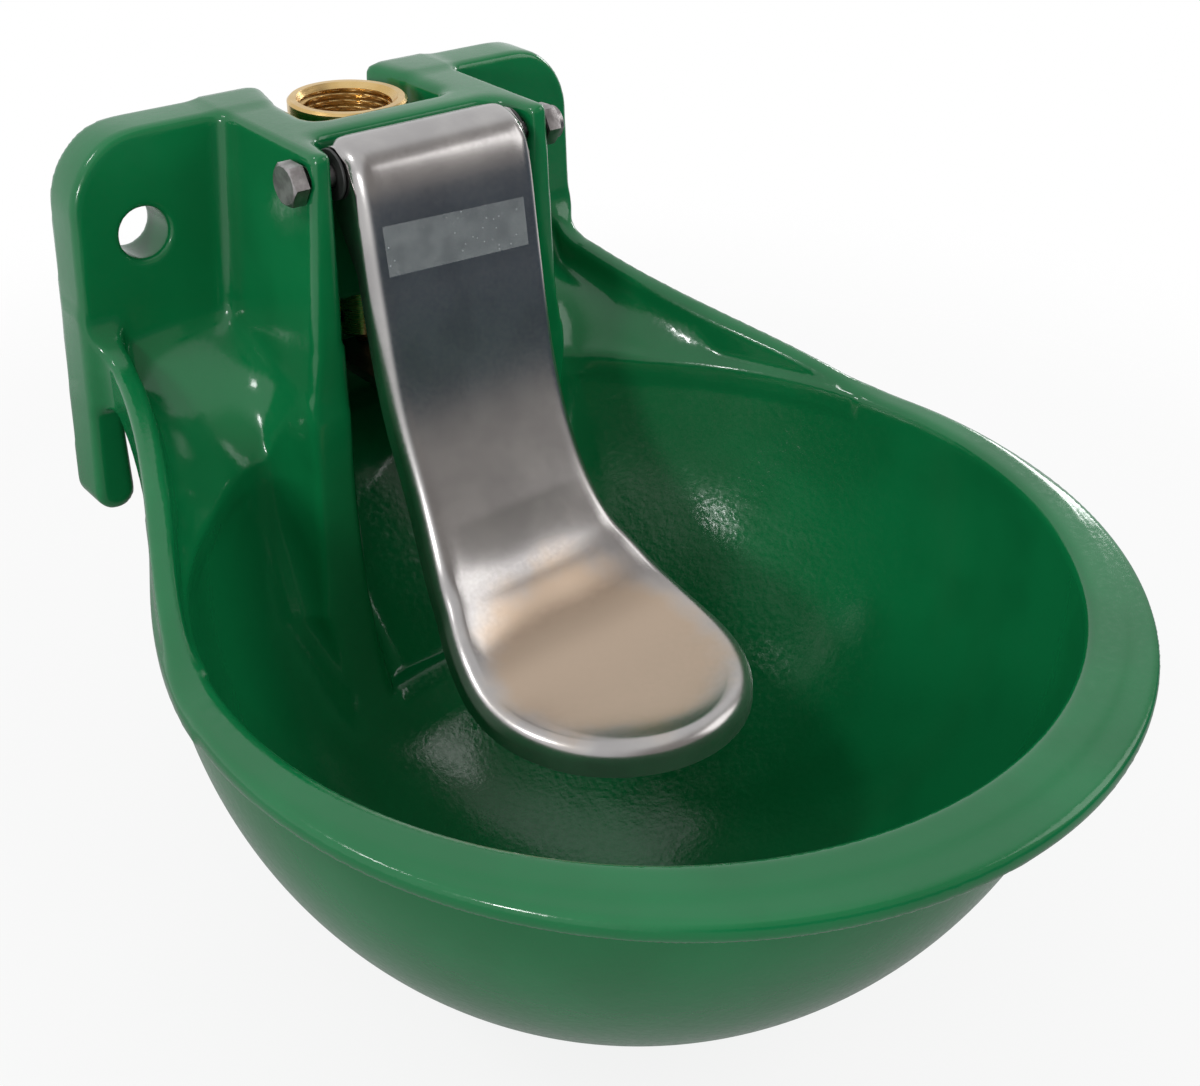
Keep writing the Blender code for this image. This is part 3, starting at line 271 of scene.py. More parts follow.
def soften(piece: bpy.types.Object, width: float, segments: int = 2, angle: float = 38.0) -> None:
    """Round the edges of a piece that are sharper than angle, by a width in metres."""
    bevel = piece.modifiers.new("rounded", "BEVEL")
    bevel.width = width
    bevel.segments = segments
    bevel.limit_method = "ANGLE"
    bevel.angle_limit = math.radians(angle)
    settle_modifiers(piece)


def lathe(
    name: str,
    radius: Array,
    height: Array,
    centre: Triple = (0.0, 0.0, 0.0),
    axis: Axis = Axis.UP,
    ring: bool = True,
    sharp: float = 35.0,
) -> bpy.types.Object:
    """Turn an outline about an axis.

    Formula: a point at station i and angle a is centre plus radius[i, a] times (cos a, sin a)
    across the axis plus height[i, a] along it. A radius that changes with the angle gives
    hexagons and threads.

    Args:
        name: Name of the piece.
        radius: Radius at each station and angle, or one column that serves all angles.
        height: Height at each station and angle, likewise.
        centre: Where the axis starts.
        axis: Direction of the axis.
        ring: Whether the outline closes on itself; if not, its ends lie on the axis.
        sharp: Edges sharper than this many degrees are shaded sharp.

    Returns:
        The turned piece.
    """
    radius, height = np.broadcast_arrays(radius, height)
    count = radius.shape[1]
    turn = 2 * np.pi * np.arange(count) / count
    points = np.stack([radius * np.cos(turn), radius * np.sin(turn), height], axis=-1)
    spin = np.array(Vector((0, 0, 1)).rotation_difference(Vector(axis.value)).to_matrix())
    points = points.reshape(-1, 3) @ spin.T + np.array(centre)
    faces = grid_faces(len(radius), count, wrap_rows=ring, wrap_columns=True)
    return make_piece(name, points, faces, sharp)


def outline_columns(outline: list[Pair], count: int = 72) -> tuple[Array, Array]:
    """Spread an outline of (radius, height) pairs over count angles."""
    pairs = np.array(outline)
    even = np.ones((1, count))
    return pairs[:, :1] * even, pairs[:, 1:] * even


def hexagon(across_flats: float, count: int = 72) -> Array:
    """Give a hexagon's radius at each angle: half its width over the cosine from the nearest flat."""
    turn = 2 * np.pi * np.arange(count) / count
    from_flat = (turn + np.pi / 6) % (np.pi / 3) - np.pi / 6
    return across_flats / 2 / np.cos(from_flat)


def thread_wave(height: Array, turn: Array, pitch: float) -> Array:
    """Give a thread's rise from 0 to 1: a flattened triangle wave of height / pitch less turns."""
    phase = (height / pitch - turn / (2 * np.pi)) % 1.0
    return np.clip(1.3 * (1 - np.abs(2 * phase - 1)) - 0.15, 0, 1)


# finishes


def linear(colour: str) -> tuple[float, float, float, float]:
    """Turn an sRGB hex colour into linear values."""
    parts = [int(colour[i : i + 2], 16) / 255 for i in (1, 3, 5)]
    even = [p / 12.92 if p <= 0.04045 else ((p + 0.055) / 1.055) ** 2.4 for p in parts]
    return (even[0], even[1], even[2], 1.0)


def add(
    tree: bpy.types.NodeTree, kind: str, inputs: dict[Any, Any] | None = None, **settings: Any
) -> bpy.types.Node:
    """Add a node with its settings, and set or link its inputs.

    Args:
        tree: The node tree.
        kind: The node's type name.
        inputs: Values by socket name or number; a socket as the value is linked.
        **settings: The node's own properties.

    Returns:
        The new node.
    """
    made = tree.nodes.new(kind)
    for name, value in settings.items():
        setattr(made, name, value)
    for key, value in (inputs or {}).items():
        if isinstance(value, bpy.types.NodeSocket):
            tree.links.new(value, made.inputs[key])
        else:
            made.inputs[key].default_value = value
    return made


@dataclass(frozen=True)
class Finish:
    """What every finish has: a Principled shader whose colour, roughness and relief are drawn."""

    name: str
    slot: str
    colour: str
    shade: str
    roughness: float
    spread: float
    metallic: float = 0.0
    patch: float = 0.050
    grain: float = 0.0015
    relief: float = 0.00001

    def build(self) -> bpy.types.Material:
        """Make the material, or return it when it is already there."""
        found = bpy.data.materials.get(self.name)
        if found:
            return found
        made = bpy.data.materials.new(self.name)
        made.use_nodes = True
        tree = made.node_tree
        shader = tree.nodes["Principled BSDF"]
        shader.inputs["Metallic"].default_value = self.metallic
        where = add(tree, "ShaderNodeTexCoord").outputs["Object"]
        self.dress(tree, shader, where)
        return made

    def dress(self, tree: bpy.types.NodeTree, shader: bpy.types.Node, where: bpy.types.NodeSocket) -> None:
        """Link colour, roughness and relief to the shader.

        Args:
            tree: The material's node tree.
            shader: Its Principled shader.
            where: The object coordinates.
        """
        clouds = add(tree, "ShaderNodeTexNoise", {"Vector": where, "Scale": 1 / self.patch, "Detail": 3.0})
        share = self.ramp(tree, clouds.outputs["Fac"], 0.35, 0.65, 0.0, 1.0)
        colour = self.mix(tree, share, linear(self.colour), linear(self.shade))
        tree.links.new(colour, shader.inputs["Base Color"])
        grain = add(tree, "ShaderNodeTexNoise", {"Vector": where, "Scale": 1 / self.grain, "Detail": 2.0})
        low, high = self.roughness - self.spread, self.roughness + self.spread
        rough = self.ramp(tree, grain.outputs["Fac"], 0.3, 0.7, low, high)
        tree.links.new(rough, shader.inputs["Roughness"])
        bump = add(tree, "ShaderNodeBump", {"Height": grain.outputs["Fac"], "Distance": self.relief})
        tree.links.new(bump.outputs["Normal"], shader.inputs["Normal"])

    @staticmethod
    def ramp(
        tree: bpy.types.NodeTree,
        value: bpy.types.NodeSocket,
        low: float,
        high: float,
        start: float,
        end: float,
    ) -> bpy.types.NodeSocket:
        """Carry a value from one range smoothly to another."""
        span = {"Value": value, "From Min": low, "From Max": high, "To Min": start, "To Max": end}
        return add(tree, "ShaderNodeMapRange", span, interpolation_type="SMOOTHSTEP").outputs[0]

    @staticmethod
    def mix(
        tree: bpy.types.NodeTree, share: bpy.types.NodeSocket, first: Any, second: Any
    ) -> bpy.types.NodeSocket:
        """Mix two colours by a share."""
        sockets = {0: share, 6: first, 7: second}
        return add(tree, "ShaderNodeMix", sockets, data_type="RGBA").outputs[2]


@dataclass(frozen=True)
class CastEnamel(Finish):
    """Gloss enamel flowed over sand-cast iron: long soft waves from the casting under a wet shine,
    and a fine orange peel that breaks a lamp's reflection into sparks."""

    wave: float = 0.012
    wave_height: float = 0.00011
    peel: float = 0.0017
    peel_height: float = 0.00006

    def dress(self, tree: bpy.types.NodeTree, shader: bpy.types.Node, where: bpy.types.NodeSocket) -> None:
        """Link the enamel's colour, gloss and two scales of relief to the shader."""
        shader.inputs["IOR"].default_value = 1.52
        clouds = add(tree, "ShaderNodeTexNoise", {"Vector": where, "Scale": 1 / self.patch, "Detail": 3.0})
        share = self.ramp(tree, clouds.outputs["Fac"], 0.35, 0.65, 0.0, 1.0)
        colour = self.mix(tree, share, linear(self.colour), linear(self.shade))
        tree.links.new(colour, shader.inputs["Base Color"])
        grain = add(tree, "ShaderNodeTexNoise", {"Vector": where, "Scale": 1 / self.grain, "Detail": 2.0})
        low, high = self.roughness - self.spread, self.roughness + self.spread
        rough = self.ramp(tree, grain.outputs["Fac"], 0.3, 0.7, low, high)
        tree.links.new(rough, shader.inputs["Roughness"])
        waves = add(tree, "ShaderNodeTexNoise", {"Vector": where, "Scale": 1 / self.wave, "Detail": 2.0})
        peel = add(tree, "ShaderNodeTexNoise", {"Vector": where, "Scale": 1 / self.peel, "Detail": 3.0})
        split = add(tree, "ShaderNodeSeparateXYZ", {0: where})
        inside = self.ramp(tree, split.outputs["Z"], -0.045, 0.012, 1.0, 0.4)
        fine = add(tree, "ShaderNodeMath", {0: peel.outputs["Fac"], 1: inside}, operation="MULTIPLY")
        scale = self.peel_height / self.wave_height
        both = {0: fine.outputs[0], 1: scale, 2: waves.outputs["Fac"]}
        relief = add(tree, "ShaderNodeMath", both, operation="MULTIPLY_ADD")
        bump = add(tree, "ShaderNodeBump", {"Height": relief.outputs[0], "Distance": self.wave_height})
        tree.links.new(bump.outputs["Normal"], shader.inputs["Normal"])


@dataclass(frozen=True)
class PressedSteel(Finish):
    """Stainless sheet, pressed and satin polished: soft reflections, faint lengthwise polish lines,
    specks, and a warm reflection painted into the colour round the middle of the pad."""

    # Colour of the warm reflection painted on the pad.
    painted_pad_reflection: str = "#BDA995"
    pad: Triple = (0.0, -0.130, -0.038)
    pad_reach: float = 0.036
    line: float = 0.0006

    def dress(self, tree: bpy.types.NodeTree, shader: bpy.types.Node, where: bpy.types.NodeSocket) -> None:
        """Link the steel's colour with its painted pad reflection, polish lines and specks to the shader."""
        away = add(tree, "ShaderNodeVectorMath", {0: where, 1: self.pad}, operation="DISTANCE")
        clouds = add(tree, "ShaderNodeTexNoise", {"Vector": where, "Scale": 1 / self.patch, "Detail": 4.0})
        ragged = {0: clouds.outputs["Fac"], 1: 0.022, 2: away.outputs["Value"]}
        edge = add(tree, "ShaderNodeMath", ragged, operation="MULTIPLY_ADD")
        # Painted reflection: a warm tint mixed into the colour within a ragged circle round the pad.
        painted_pad_reflection = self.ramp(tree, edge.outputs[0], self.pad_reach, self.pad_reach + 0.014, 1.0, 0.0)
        share = self.ramp(tree, clouds.outputs["Fac"], 0.35, 0.65, 0.0, 1.0)
        plain = self.mix(tree, share, linear(self.colour), linear(self.shade))
        colour = self.mix(tree, painted_pad_reflection, plain, linear(self.painted_pad_reflection))
        tree.links.new(colour, shader.inputs["Base Color"])
        flat = add(tree, "ShaderNodeMapping", {"Vector": where, "Scale": (1.0, 0.12, 0.12)})
        drawn = {"Vector": flat.outputs[0], "Scale": 1 / self.line, "Detail": 2.0}
        lines = add(tree, "ShaderNodeTexNoise", drawn)
        specks = add(tree, "ShaderNodeTexNoise", {"Vector": where, "Scale": 1 / self.grain, "Detail": 2.0})
        low, high = self.roughness - self.spread, self.roughness + self.spread
        rough = self.ramp(tree, specks.outputs["Fac"], 0.35, 0.65, low, high)
        tree.links.new(rough, shader.inputs["Roughness"])
        both = {0: lines.outputs["Fac"], 1: 0.4, 2: specks.outputs["Fac"]}
        relief = add(tree, "ShaderNodeMath", both, operation="MULTIPLY_ADD")
        bump = add(tree, "ShaderNodeBump", {"Height": relief.outputs[0], "Distance": self.relief})
        tree.links.new(bump.outputs["Normal"], shader.inputs["Normal"])


@dataclass(frozen=True)
class TurnedBrass(Finish):
    """Free-cutting brass off the lathe: bright, with rings left by the tool, drawn 0.35 mm apart
    where the real ones are finer, so that they show."""

    pitch: float = 0.00035

    def dress(self, tree: bpy.types.NodeTree, shader: bpy.types.Node, where: bpy.types.NodeSocket) -> None:
        """Link the brass's colour and tool rings to the shader."""
        clouds = add(tree, "ShaderNodeTexNoise", {"Vector": where, "Scale": 1 / self.patch, "Detail": 3.0})
        share = self.ramp(tree, clouds.outputs["Fac"], 0.35, 0.65, 0.0, 1.0)
        colour = self.mix(tree, share, linear(self.colour), linear(self.shade))
        tree.links.new(colour, shader.inputs["Base Color"])
        stretched = add(tree, "ShaderNodeMapping", {"Vector": where, "Scale": (0.05, 0.05, 1.0)})
        turned = {"Vector": stretched.outputs[0], "Scale": 1 / self.pitch, "Detail": 2.0}
        rings = add(tree, "ShaderNodeTexNoise", turned)
        low, high = self.roughness - self.spread, self.roughness + self.spread
        rough = self.ramp(tree, rings.outputs["Fac"], 0.3, 0.7, low, high)
        tree.links.new(rough, shader.inputs["Roughness"])
        bump = add(tree, "ShaderNodeBump", {"Height": rings.outputs["Fac"], "Distance": self.relief})
        tree.links.new(bump.outputs["Normal"], shader.inputs["Normal"])


@dataclass(frozen=True)
class ClearFilm(Finish):
    """Clear polypropylene tape: a thin milky film that shows the steel through it, with a few
    trapped bubbles and a soft gloss."""

    bubble: float = 0.0022

    def dress(self, tree: bpy.types.NodeTree, shader: bpy.types.Node, where: bpy.types.NodeSocket) -> None:
        """Link the film's milkiness and bubbles to the shader."""
        shader.inputs["Base Color"].default_value = linear(self.colour)
        shader.inputs["IOR"].default_value = 1.49
        clouds = add(tree, "ShaderNodeTexNoise", {"Vector": where, "Scale": 1 / self.patch, "Detail": 3.0})
        milk = self.ramp(tree, clouds.outputs["Fac"], 0.3, 0.7, 0.10, 0.16)
        bubbles = add(tree, "ShaderNodeTexVoronoi", {"Vector": where, "Scale": 1 / self.bubble})
        ringed = self.ramp(tree, bubbles.outputs["Distance"], 0.06, 0.14, 0.25, 0.0)
        alpha = add(tree, "ShaderNodeMath", {0: milk, 1: ringed}, operation="ADD")
        tree.links.new(alpha.outputs[0], shader.inputs["Alpha"])
        low, high = self.roughness - self.spread, self.roughness + self.spread
        rough = self.ramp(tree, clouds.outputs["Fac"], 0.3, 0.7, low, high)
        tree.links.new(rough, shader.inputs["Roughness"])


# Enamel fired on sand-cast iron: deep green under a wet shine, a shade darker where it ran thin.
ENAMEL = CastEnamel("gloss_enamel_on_cast_iron", "enamel", "#107A45", "#0E703E", 0.15, 0.05, patch=0.045)

# Stainless sheet, pressed and polished: wide soft bands of light, and specks about 1 mm apart.
STEEL = PressedSteel(
    "satin_polished_stainless_sheet",
    "stainless",
    "#BDBAB8",
    "#B0ADAC",
    0.25,
    0.018,
    metallic=1.0,
    patch=0.018,
    grain=0.0011,
    relief=0.0000012,
)

# Stainless plate as the shears left it: greyer and duller than the tongue.
PLAIN_STEEL = Finish(
    "sheared_stainless_plate", "stainless", "#ABA8A5", "#989593", 0.34, 0.06, 1.0, 0.012, 0.0008, 0.00002
)

# Weld bead with its heat tint: straw and blue-grey patches a few millimetres long.
WELD = Finish("tinted_weld_bead", "stainless", "#9C8E84", "#7E7C86", 0.36, 0.08, 1.0, 0.004, 0.0007, 0.00003)

# Zinc plate on machined steel: light grey, cloudy, with a soft gleam.
ZINC = Finish("dull_zinc_plate", "zinc", "#B4B0B0", "#8F8B8B", 0.36, 0.08, 1.0, 0.004, 0.0005, 0.00002)

# Free-cutting brass off the lathe: bright yellow with fine rings round its axis.
BRASS = TurnedBrass("turned_brass", "brass", "#E3C388", "#D6B273", 0.26, 0.06, 1.0, 0.012, 0.0008, 0.000006)

# Hard-drawn wire: smooth grey steel with a plain gleam.
SPRING = Finish(
    "drawn_spring_wire", "spring_steel", "#A9A9AA", "#8F8F91", 0.30, 0.05, 1.0, 0.005, 0.0004, 0.000008
)

# Rubber out of a mould: near black and matt.
RUBBER = Finish(
    "moulded_black_rubber", "rubber", "#1B1B1C", "#242425", 0.62, 0.08, 0.0, 0.006, 0.0005, 0.00002
)

# Pressed fibre: rust red, dry and fuzzy.
FIBRE = Finish(
    "pressed_fibre_washer", "fibre", "#7A3F2C", "#6A3424", 0.82, 0.06, 0.0, 0.004, 0.0005, 0.00004
)

# Natural nylon: cream white with a waxy sheen.
NYLON = Finish("moulded_white_nylon", "nylon", "#D6D3C8", "#CBC8BC", 0.44, 0.05, 0.0, 0.008, 0.0009, 0.00001)

# Nylon drawn charcoal, with a waxy sheen, for the bushes.
DARK_NYLON = Finish(
    "moulded_dark_nylon", "nylon", "#2B2C2B", "#343534", 0.46, 0.05, 0.0, 0.006, 0.0009, 0.00001
)

# Dyed nylon: the blue ring of a lock nut.
BLUE_NYLON = Finish(
    "moulded_blue_nylon", "blue_nylon", "#2F5F9E", "#28548E", 0.44, 0.05, 0.0, 0.006, 0.0009, 0.00001
)

# Clear polypropylene tape: a milky veil with a soft gloss over the steel.
FILM = ClearFilm("clear_tape_film", "nylon", "#D3DADC", "#D3DADC", 0.22, 0.05, patch=0.006)


def dress(piece: bpy.types.Object, finish: Finish, body: Body, *nodes: str) -> bpy.types.Object:
    """Give a piece its finish, the body that it rides on and the CAD nodes that it stands for.

    Args:
        piece: The piece.
        finish: Its finish.
        body: The body that carries it.
        *nodes: Names of the nodes that it replaces.

    Returns:
        The piece.
    """
    piece.data.materials.clear()
    piece.data.materials.append(finish.build())
    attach(piece, body.value)
    if nodes:
        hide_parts(*nodes)
    log.info("%s: %d faces, %s", piece.name, len(piece.data.polygons), finish.name)
    return piece


# the casting


@dataclass
class Casting:
    """The enamelled casting: bowl, rim, side walls, shelf, ears and the housing of the tongue.

    It is worked out as one distance that is negative inside the iron, so that every corner
    gets the soft fillet of a casting, and then skinned.
    """

    bowl_radius: float = 0.110
    bowl_depth: float = 0.116
    bowl_wall: float = 0.0065
    bowl_y: float = -0.1405
    rim_radius: float = 0.1199
    rim_y: float = -0.1493
    rim_thickness: float = 0.0055
    ear_top: float = 0.0875
    ear_half: float = 0.0805
    ear_flare: float = 0.0055
    ear_thickness: float = 0.0152
    ear_corner: float = 0.0225
    leg_bottom: float = -0.0175
    leg_width: float = 0.011
    slot_width: float = 0.018
    slot_top: float = 0.016
    hole: Triple = (0.0617, 0.0593, 0.007)
    housing_half: float = 0.0362
    housing_draft: float = 0.078
    housing_front: float = -0.060
    flare_top: float = 0.020
    recess_half: float = 0.0287
    recess_front_half: float = 0.0313
    bridge_front: float = -0.045
    bridge_back: float = -0.0346
    pocket_half: float = 0.0213
    notch_half: float = 0.0166
    web_top: float = 0.048
    web_thickness: float = 0.008
    chamber_wall: float = 0.0045
    ledge: Pair = (-0.014, -0.011)
    foot: Pair = (-0.0594, -0.0766)
    back_flat_bottom: float = -0.008
    back_slope_wall: float = 0.0075
    curb_wall: float = 0.0064
    curb_top: float = 0.0275
    curb_power: float = 1.15
    shelf_sheet: float = 0.0065
    shelf_hollow: float = 1.6
    rim_edge: float = 0.0018
    rim_join: float = 0.0055
    curb_edge: float = 0.0024
    curb_join: float = 0.0030
    ear_edge: float = 0.0022
    ear_join: float = 0.0050
    hollow_edge: float = 0.0032
    block_edge: float = 0.0026
    block_join: Pair = (0.021, 0.0055)
    shelf_edge: float = 0.0014
    shelf_join: Pair = (0.0016, 0.0042)
    valley_half: float = 0.0420
    opening_corner: float = 0.0215
    recess_edge: float = 0.0060
    mouth_edge: Pair = (0.0060, 0.0028)
    pocket_edge: float = 0.0038
    bore_edge: float = 0.0016
    top_edge: float = 0.0032
    back_edge: float = 0.0024
    pivot: Pair = (-0.0536, 0.0790)
    bolt_bore: float = 0.0033
    valve_y: float = -0.0179
    valve_bore: float = 0.0087
    step: float = field(default_factory=lambda: 0.00115)
    faces: int = 190000

    def side_curve(self, count: int) -> Array:
        """Return the plan of the right side, from the rim's widest part to the ear: one cubic."""
        lean = math.radians(10)
        start = self.rim_radius * np.array([math.cos(lean), math.sin(lean)])
        start[1] = self.rim_y + start[1]
        leave = start + self.rim_radius * 0.32 * np.array([-math.sin(lean), math.cos(lean)])
        end = np.array([self.ear_half - 0.001, -self.ear_thickness - 0.006])
        arrive = end + np.array([0.0058, -0.0365])
        t = np.linspace(0, 1, count)[:, None]
        near = (1 - t) ** 3 * start + 3 * (1 - t) ** 2 * t * leave
        return near + 3 * (1 - t) * t**2 * arrive + t**3 * end

    def outline(self) -> Array:
        """Return the right half of the plan, from the middle of the front to the back plane."""
        front = arc((0.0, self.rim_y), self.rim_radius, -90, 10, 60)
        side = self.side_curve(30)[1:]
        tail = np.array([[self.ear_half, -self.ear_thickness], [self.ear_half, 0.01], [-0.02, 0.01]])
        return np.vstack([front, side, tail, [[-0.02, front[0][1]]]])

    def curb_height(self, y: Array) -> Array:
        """Return the height of the side wall's top: low at the rim, sweeping up into the ear."""
        front = self.rim_y + self.rim_radius * math.sin(math.radians(10))
        back = -self.ear_thickness - 0.014
        share = np.clip((y - front) / (back - front), 0, 1)
        sweep = np.clip((y - back) / 0.014, 0, 1.2)
        return self.curb_top * share**self.curb_power + 0.0085 * sweep**1.7 - 0.0030 * (1 - share) ** 6

    def ear_outline(self) -> Array:
        """Return the right ear's front view: rounded outer corner, leg, and the slot beside it."""
        bottom = self.ear_half + self.ear_flare
        inner = bottom - self.leg_width
        slot_inner = inner - self.slot_width
        radius = self.leg_width / 2
        corner = (self.ear_half - self.ear_corner, self.ear_top - self.ear_corner)
        foot = (bottom - radius, self.leg_bottom + radius)
        slot = ((inner + slot_inner) / 2, self.slot_top - self.slot_width / 2)
        parts = [
            [[-0.01, self.ear_top]],
            arc(corner, self.ear_corner, 90, 0, 16),
            arc(foot, radius, 0, -180, 14),
            arc(slot, self.slot_width / 2, 0, 180, 16),
            [[slot_inner, -0.006], [-0.01, -0.006]],
        ]
        return np.vstack(parts)

    def half_at(self, z: Array) -> Array:
        """Return the housing's half-width at a height: drafted, and wider below the shelf."""
        above = np.maximum(z, self.flare_top)
        flare = np.maximum(0.035 - above, 0) * 0.09
        taper = np.maximum(-0.045 - z, 0) * 0.35
        return self.housing_half + (self.ear_top - above) * self.housing_draft + flare - taper

    def shelf_border(self) -> Array:
        """Return the border of the right shelf, round from the front of the valley, as x, y, z rows.

        Formula: up the valley beside the housing, along the crease under the ear, down the side
        wall's foot, whose height rises with the share of the way to the ear, back along the lip
        of the opening, and up the corner between lip and housing.
        """
        side = self.valley_half
        valley = [
            (side, -0.0585, 0.0200), (side, -0.0400, 0.0232), (side, -0.0270, 0.0263),
            (side, -0.0150, 0.0300),
        ]
        crease = [
            (0.0450, -0.0135, 0.0312), (0.0600, -0.0135, 0.0312), (0.0720, -0.0135, 0.0308),
            (0.0745, -0.0170, 0.0262),
        ]
        curve = self.side_curve(24)[::-1]
        foot = curve - np.array([self.curb_wall, 0.0])
        keep = np.hypot(foot[:, 0], foot[:, 1] - self.bowl_y) > self.bowl_radius + 0.0040
        foot = foot[keep]
        share = np.clip((foot[:, 1] + 0.112) / (0.112 - self.ear_thickness - 0.010), 0, 1.1)
        wall = np.column_stack([foot, np.minimum(0.0186 * share**0.95, 0.0184)])
        last = math.degrees(math.atan2(foot[-1, 1] - self.bowl_y, foot[-1, 0]))
        edge = arc((0.0, self.bowl_y), self.bowl_radius + 0.0006, last, 57.5, 24)
        turn = np.degrees(np.arctan2(edge[:, 1] - self.bowl_y, edge[:, 0]))
        rise = 0.0020 * np.clip((turn - 46) / 8, 0, 1) + 0.0002
        lip = np.column_stack([edge, rise])
        corner = [
            (0.0508, -0.0450, 0.0038), (0.0477, -0.0500, 0.0086), (0.0446, -0.0540, 0.0125),
            (0.0430, -0.0585, 0.0190),
        ]
        return np.vstack([valley, crease, wall, lip, corner])

    def distance(self, x: Array, y: Array, z: Array) -> Array:
        """Work out the distance to the casting on a grid.

        Formula: the bowl's outside, rim, side walls and ears joined with fillets, the bowl's
        inside cut out, the housing and shelf joined on, and the recess, chamber, pocket and
        bores cut out, each with its own radius.

        Args:
            x: Grid coordinate, of shape (n, 1, 1), from 0 to the right.
            y: Grid coordinate, of shape (1, n, 1).
            z: Grid coordinate, of shape (1, 1, n).

        Returns:
            The distance at every grid point, negative in the iron.
        """
        out = np.hypot(x, y - self.bowl_y)
        plan = outline_distance(x[..., 0], y[..., 0], self.outline())[..., None]
        wide, deep = self.bowl_radius + self.bowl_wall, self.bowl_depth + self.bowl_wall
        outer = ellipsoid(x, y - self.bowl_y, z, wide, deep)
        solid = np.maximum(outer, z + 0.002)
        rim = slab(np.maximum(plan, y + 0.050), z, -self.rim_thickness, 0.0, self.rim_edge)
        solid = blend_min(solid, rim, self.rim_join)
        top = self.curb_height(y)
        rise = np.clip(1 - (-self.ear_thickness - y) / 0.042, 0, 1)
        lower = np.minimum(-self.rim_thickness + rise * (self.slot_top + self.rim_thickness), self.slot_top)
        across = np.abs(plan + self.curb_wall / 2) - self.curb_wall / 2
        curb = blend_max(across, np.maximum((z - top) * 0.95, lower - z), self.curb_edge)
        curb = np.maximum(curb, np.maximum(-0.132 - y, y + 0.006))
        solid = blend_min(solid, curb, self.curb_join)
        face = outline_distance(x[:, 0, :], z[:, 0, :], self.ear_outline())[:, None, :]
        ear = slab(face, y, -self.ear_thickness, 0.004, self.ear_edge)
        solid = blend_min(solid, ear, self.ear_join)
        inner = ellipsoid(x, y - self.bowl_y, z, self.bowl_radius, self.bowl_depth)
        hollow = np.where(z < 0, inner, out - self.bowl_radius)
        solid = blend_max(solid, -hollow, self.hollow_edge)
        half = self.half_at(z)
        share = np.maximum((self.back_flat_bottom - z) / (self.back_flat_bottom - self.foot[1]), 0)
        back = (self.foot[0] + self.back_slope_wall) * share
        block = blend_max(x - half, self.housing_front - y, self.block_edge)
        block = np.maximum(block, np.maximum(y - back, self.foot[1] - 0.012 - z))
        fillet = np.interp(z, [-0.004, 0.012], self.block_join)
        solid = blend_min(solid, np.maximum(block, z - self.ear_top), fillet)
        solid = self.add_shelf(solid, x, y, z, plan, out)
        solid = self.cut_housing(solid, x, y, z)
        solid = blend_max(solid, z - self.ear_top, self.top_edge)
        return blend_max(solid, y + 0.0 * z, self.back_edge)

    def add_shelf(self, solid: Array, x: Array, y: Array, z: Array, plan: Array, out: Array) -> Array:
        """Join the shelf on: a skin over its border, thick beside the housing, ending at the opening.

        Formula: the border's heights are taken to the power 1 / hollow, spread over the shelf, and
        raised to the power hollow again, so the shelf is flat at the lip and steep at the ear.
        """
        border = self.shelf_border()
        border[:, 2] = np.maximum(border[:, 2], 0) ** (1 / self.shelf_hollow)
        skin = mean_value_surface(x[..., 0], y[..., 0], border)[..., None]
        skin = np.clip(np.maximum(skin, 0) ** self.shelf_hollow, 0, 0.034)
        beside = blend_max(x - self.valley_half - 0.0005, self.housing_front + 0.001 - y, 0.003)
        opening = blend_min(self.bowl_radius - out, beside, self.opening_corner)
        deep = self.shelf_sheet + 0.034 * np.clip(1 - (x - self.valley_half) / 0.016, 0, 1) ** 0.5
        shelf = blend_max((z - skin) * 0.93, opening, self.shelf_edge)
        within = np.maximum(plan + self.curb_wall - 0.0012, np.maximum(y + 0.011, -0.118 - y))
        shelf = np.maximum(shelf, np.maximum(within, (skin - deep - z) * 0.93))
        reach = np.interp(z, [0.000, 0.018], self.shelf_join)
        return blend_min(solid, shelf, reach)

    def cut_housing(self, solid: Array, x: Array, y: Array, z: Array) -> Array:
        """Cut the recess of the tongue, the chamber under the web, the valve pocket and the bores."""
        front = self.housing_front
        flare = (self.recess_front_half - self.recess_half) / (self.bridge_front - front)
        side = x - self.recess_half - np.maximum(self.bridge_front - y, 0) * flare
        low = self.web_top - self.web_thickness - 0.004
        recess = blend_max(side, y - self.bridge_front, self.recess_edge)
        recess = np.maximum(recess, np.maximum(low - z, front - 0.016 - y))
        run = (self.foot[0] - self.ledge[0]) / (self.foot[1] - self.ledge[1])
        back = np.where(z > self.ledge[1], -self.chamber_wall, self.ledge[0] + (z - self.ledge[1]) * run)
        shrink = np.interp(z, [self.foot[1], -0.045, self.ledge[1], 0.04], [0.006, 0.0025, 0.0010, 0.0006])
        share = np.clip((y - front) / (back - front), 0, 1)
        half = self.recess_front_half - (self.recess_front_half - self.recess_half) * share - shrink
        rear = np.maximum(y - back, z - self.web_top + self.web_thickness)
        chamber = blend_max(x - half, rear, self.recess_edge)
        chamber = np.maximum(chamber, np.maximum(self.foot[1] - z, front - 0.016 - y))
        corner = np.interp(z, [self.foot[1] + 0.002, -0.050], self.mouth_edge)
        solid = blend_max(solid, -blend_min(recess, chamber, 0.0015), corner)
        wide, near = self.pocket_half, self.bridge_back
        plan = [
            (-0.01, 0.010), (self.notch_half, 0.010), (self.notch_half, 0.0), (wide - 0.0006, -0.0156),
            (wide, near + 0.004), (wide - 0.0012, near + 0.0012), (wide - 0.004, near), (-0.01, near),
        ]
        pocket = outline_distance(x[..., 0], y[..., 0], np.array(plan))[..., None]
        solid = blend_max(solid, -np.maximum(pocket, self.web_top - z), self.pocket_edge)
        seat = np.maximum(np.hypot(x, y - self.valve_y) - self.valve_bore, np.abs(z - 0.045) - 0.012)
        bolt = np.maximum(np.hypot(y - self.pivot[0], z - self.pivot[1]) - self.bolt_bore, 0.020 - x)
        hole = np.hypot(x - self.hole[0], z - self.hole[1]) - self.hole[2]
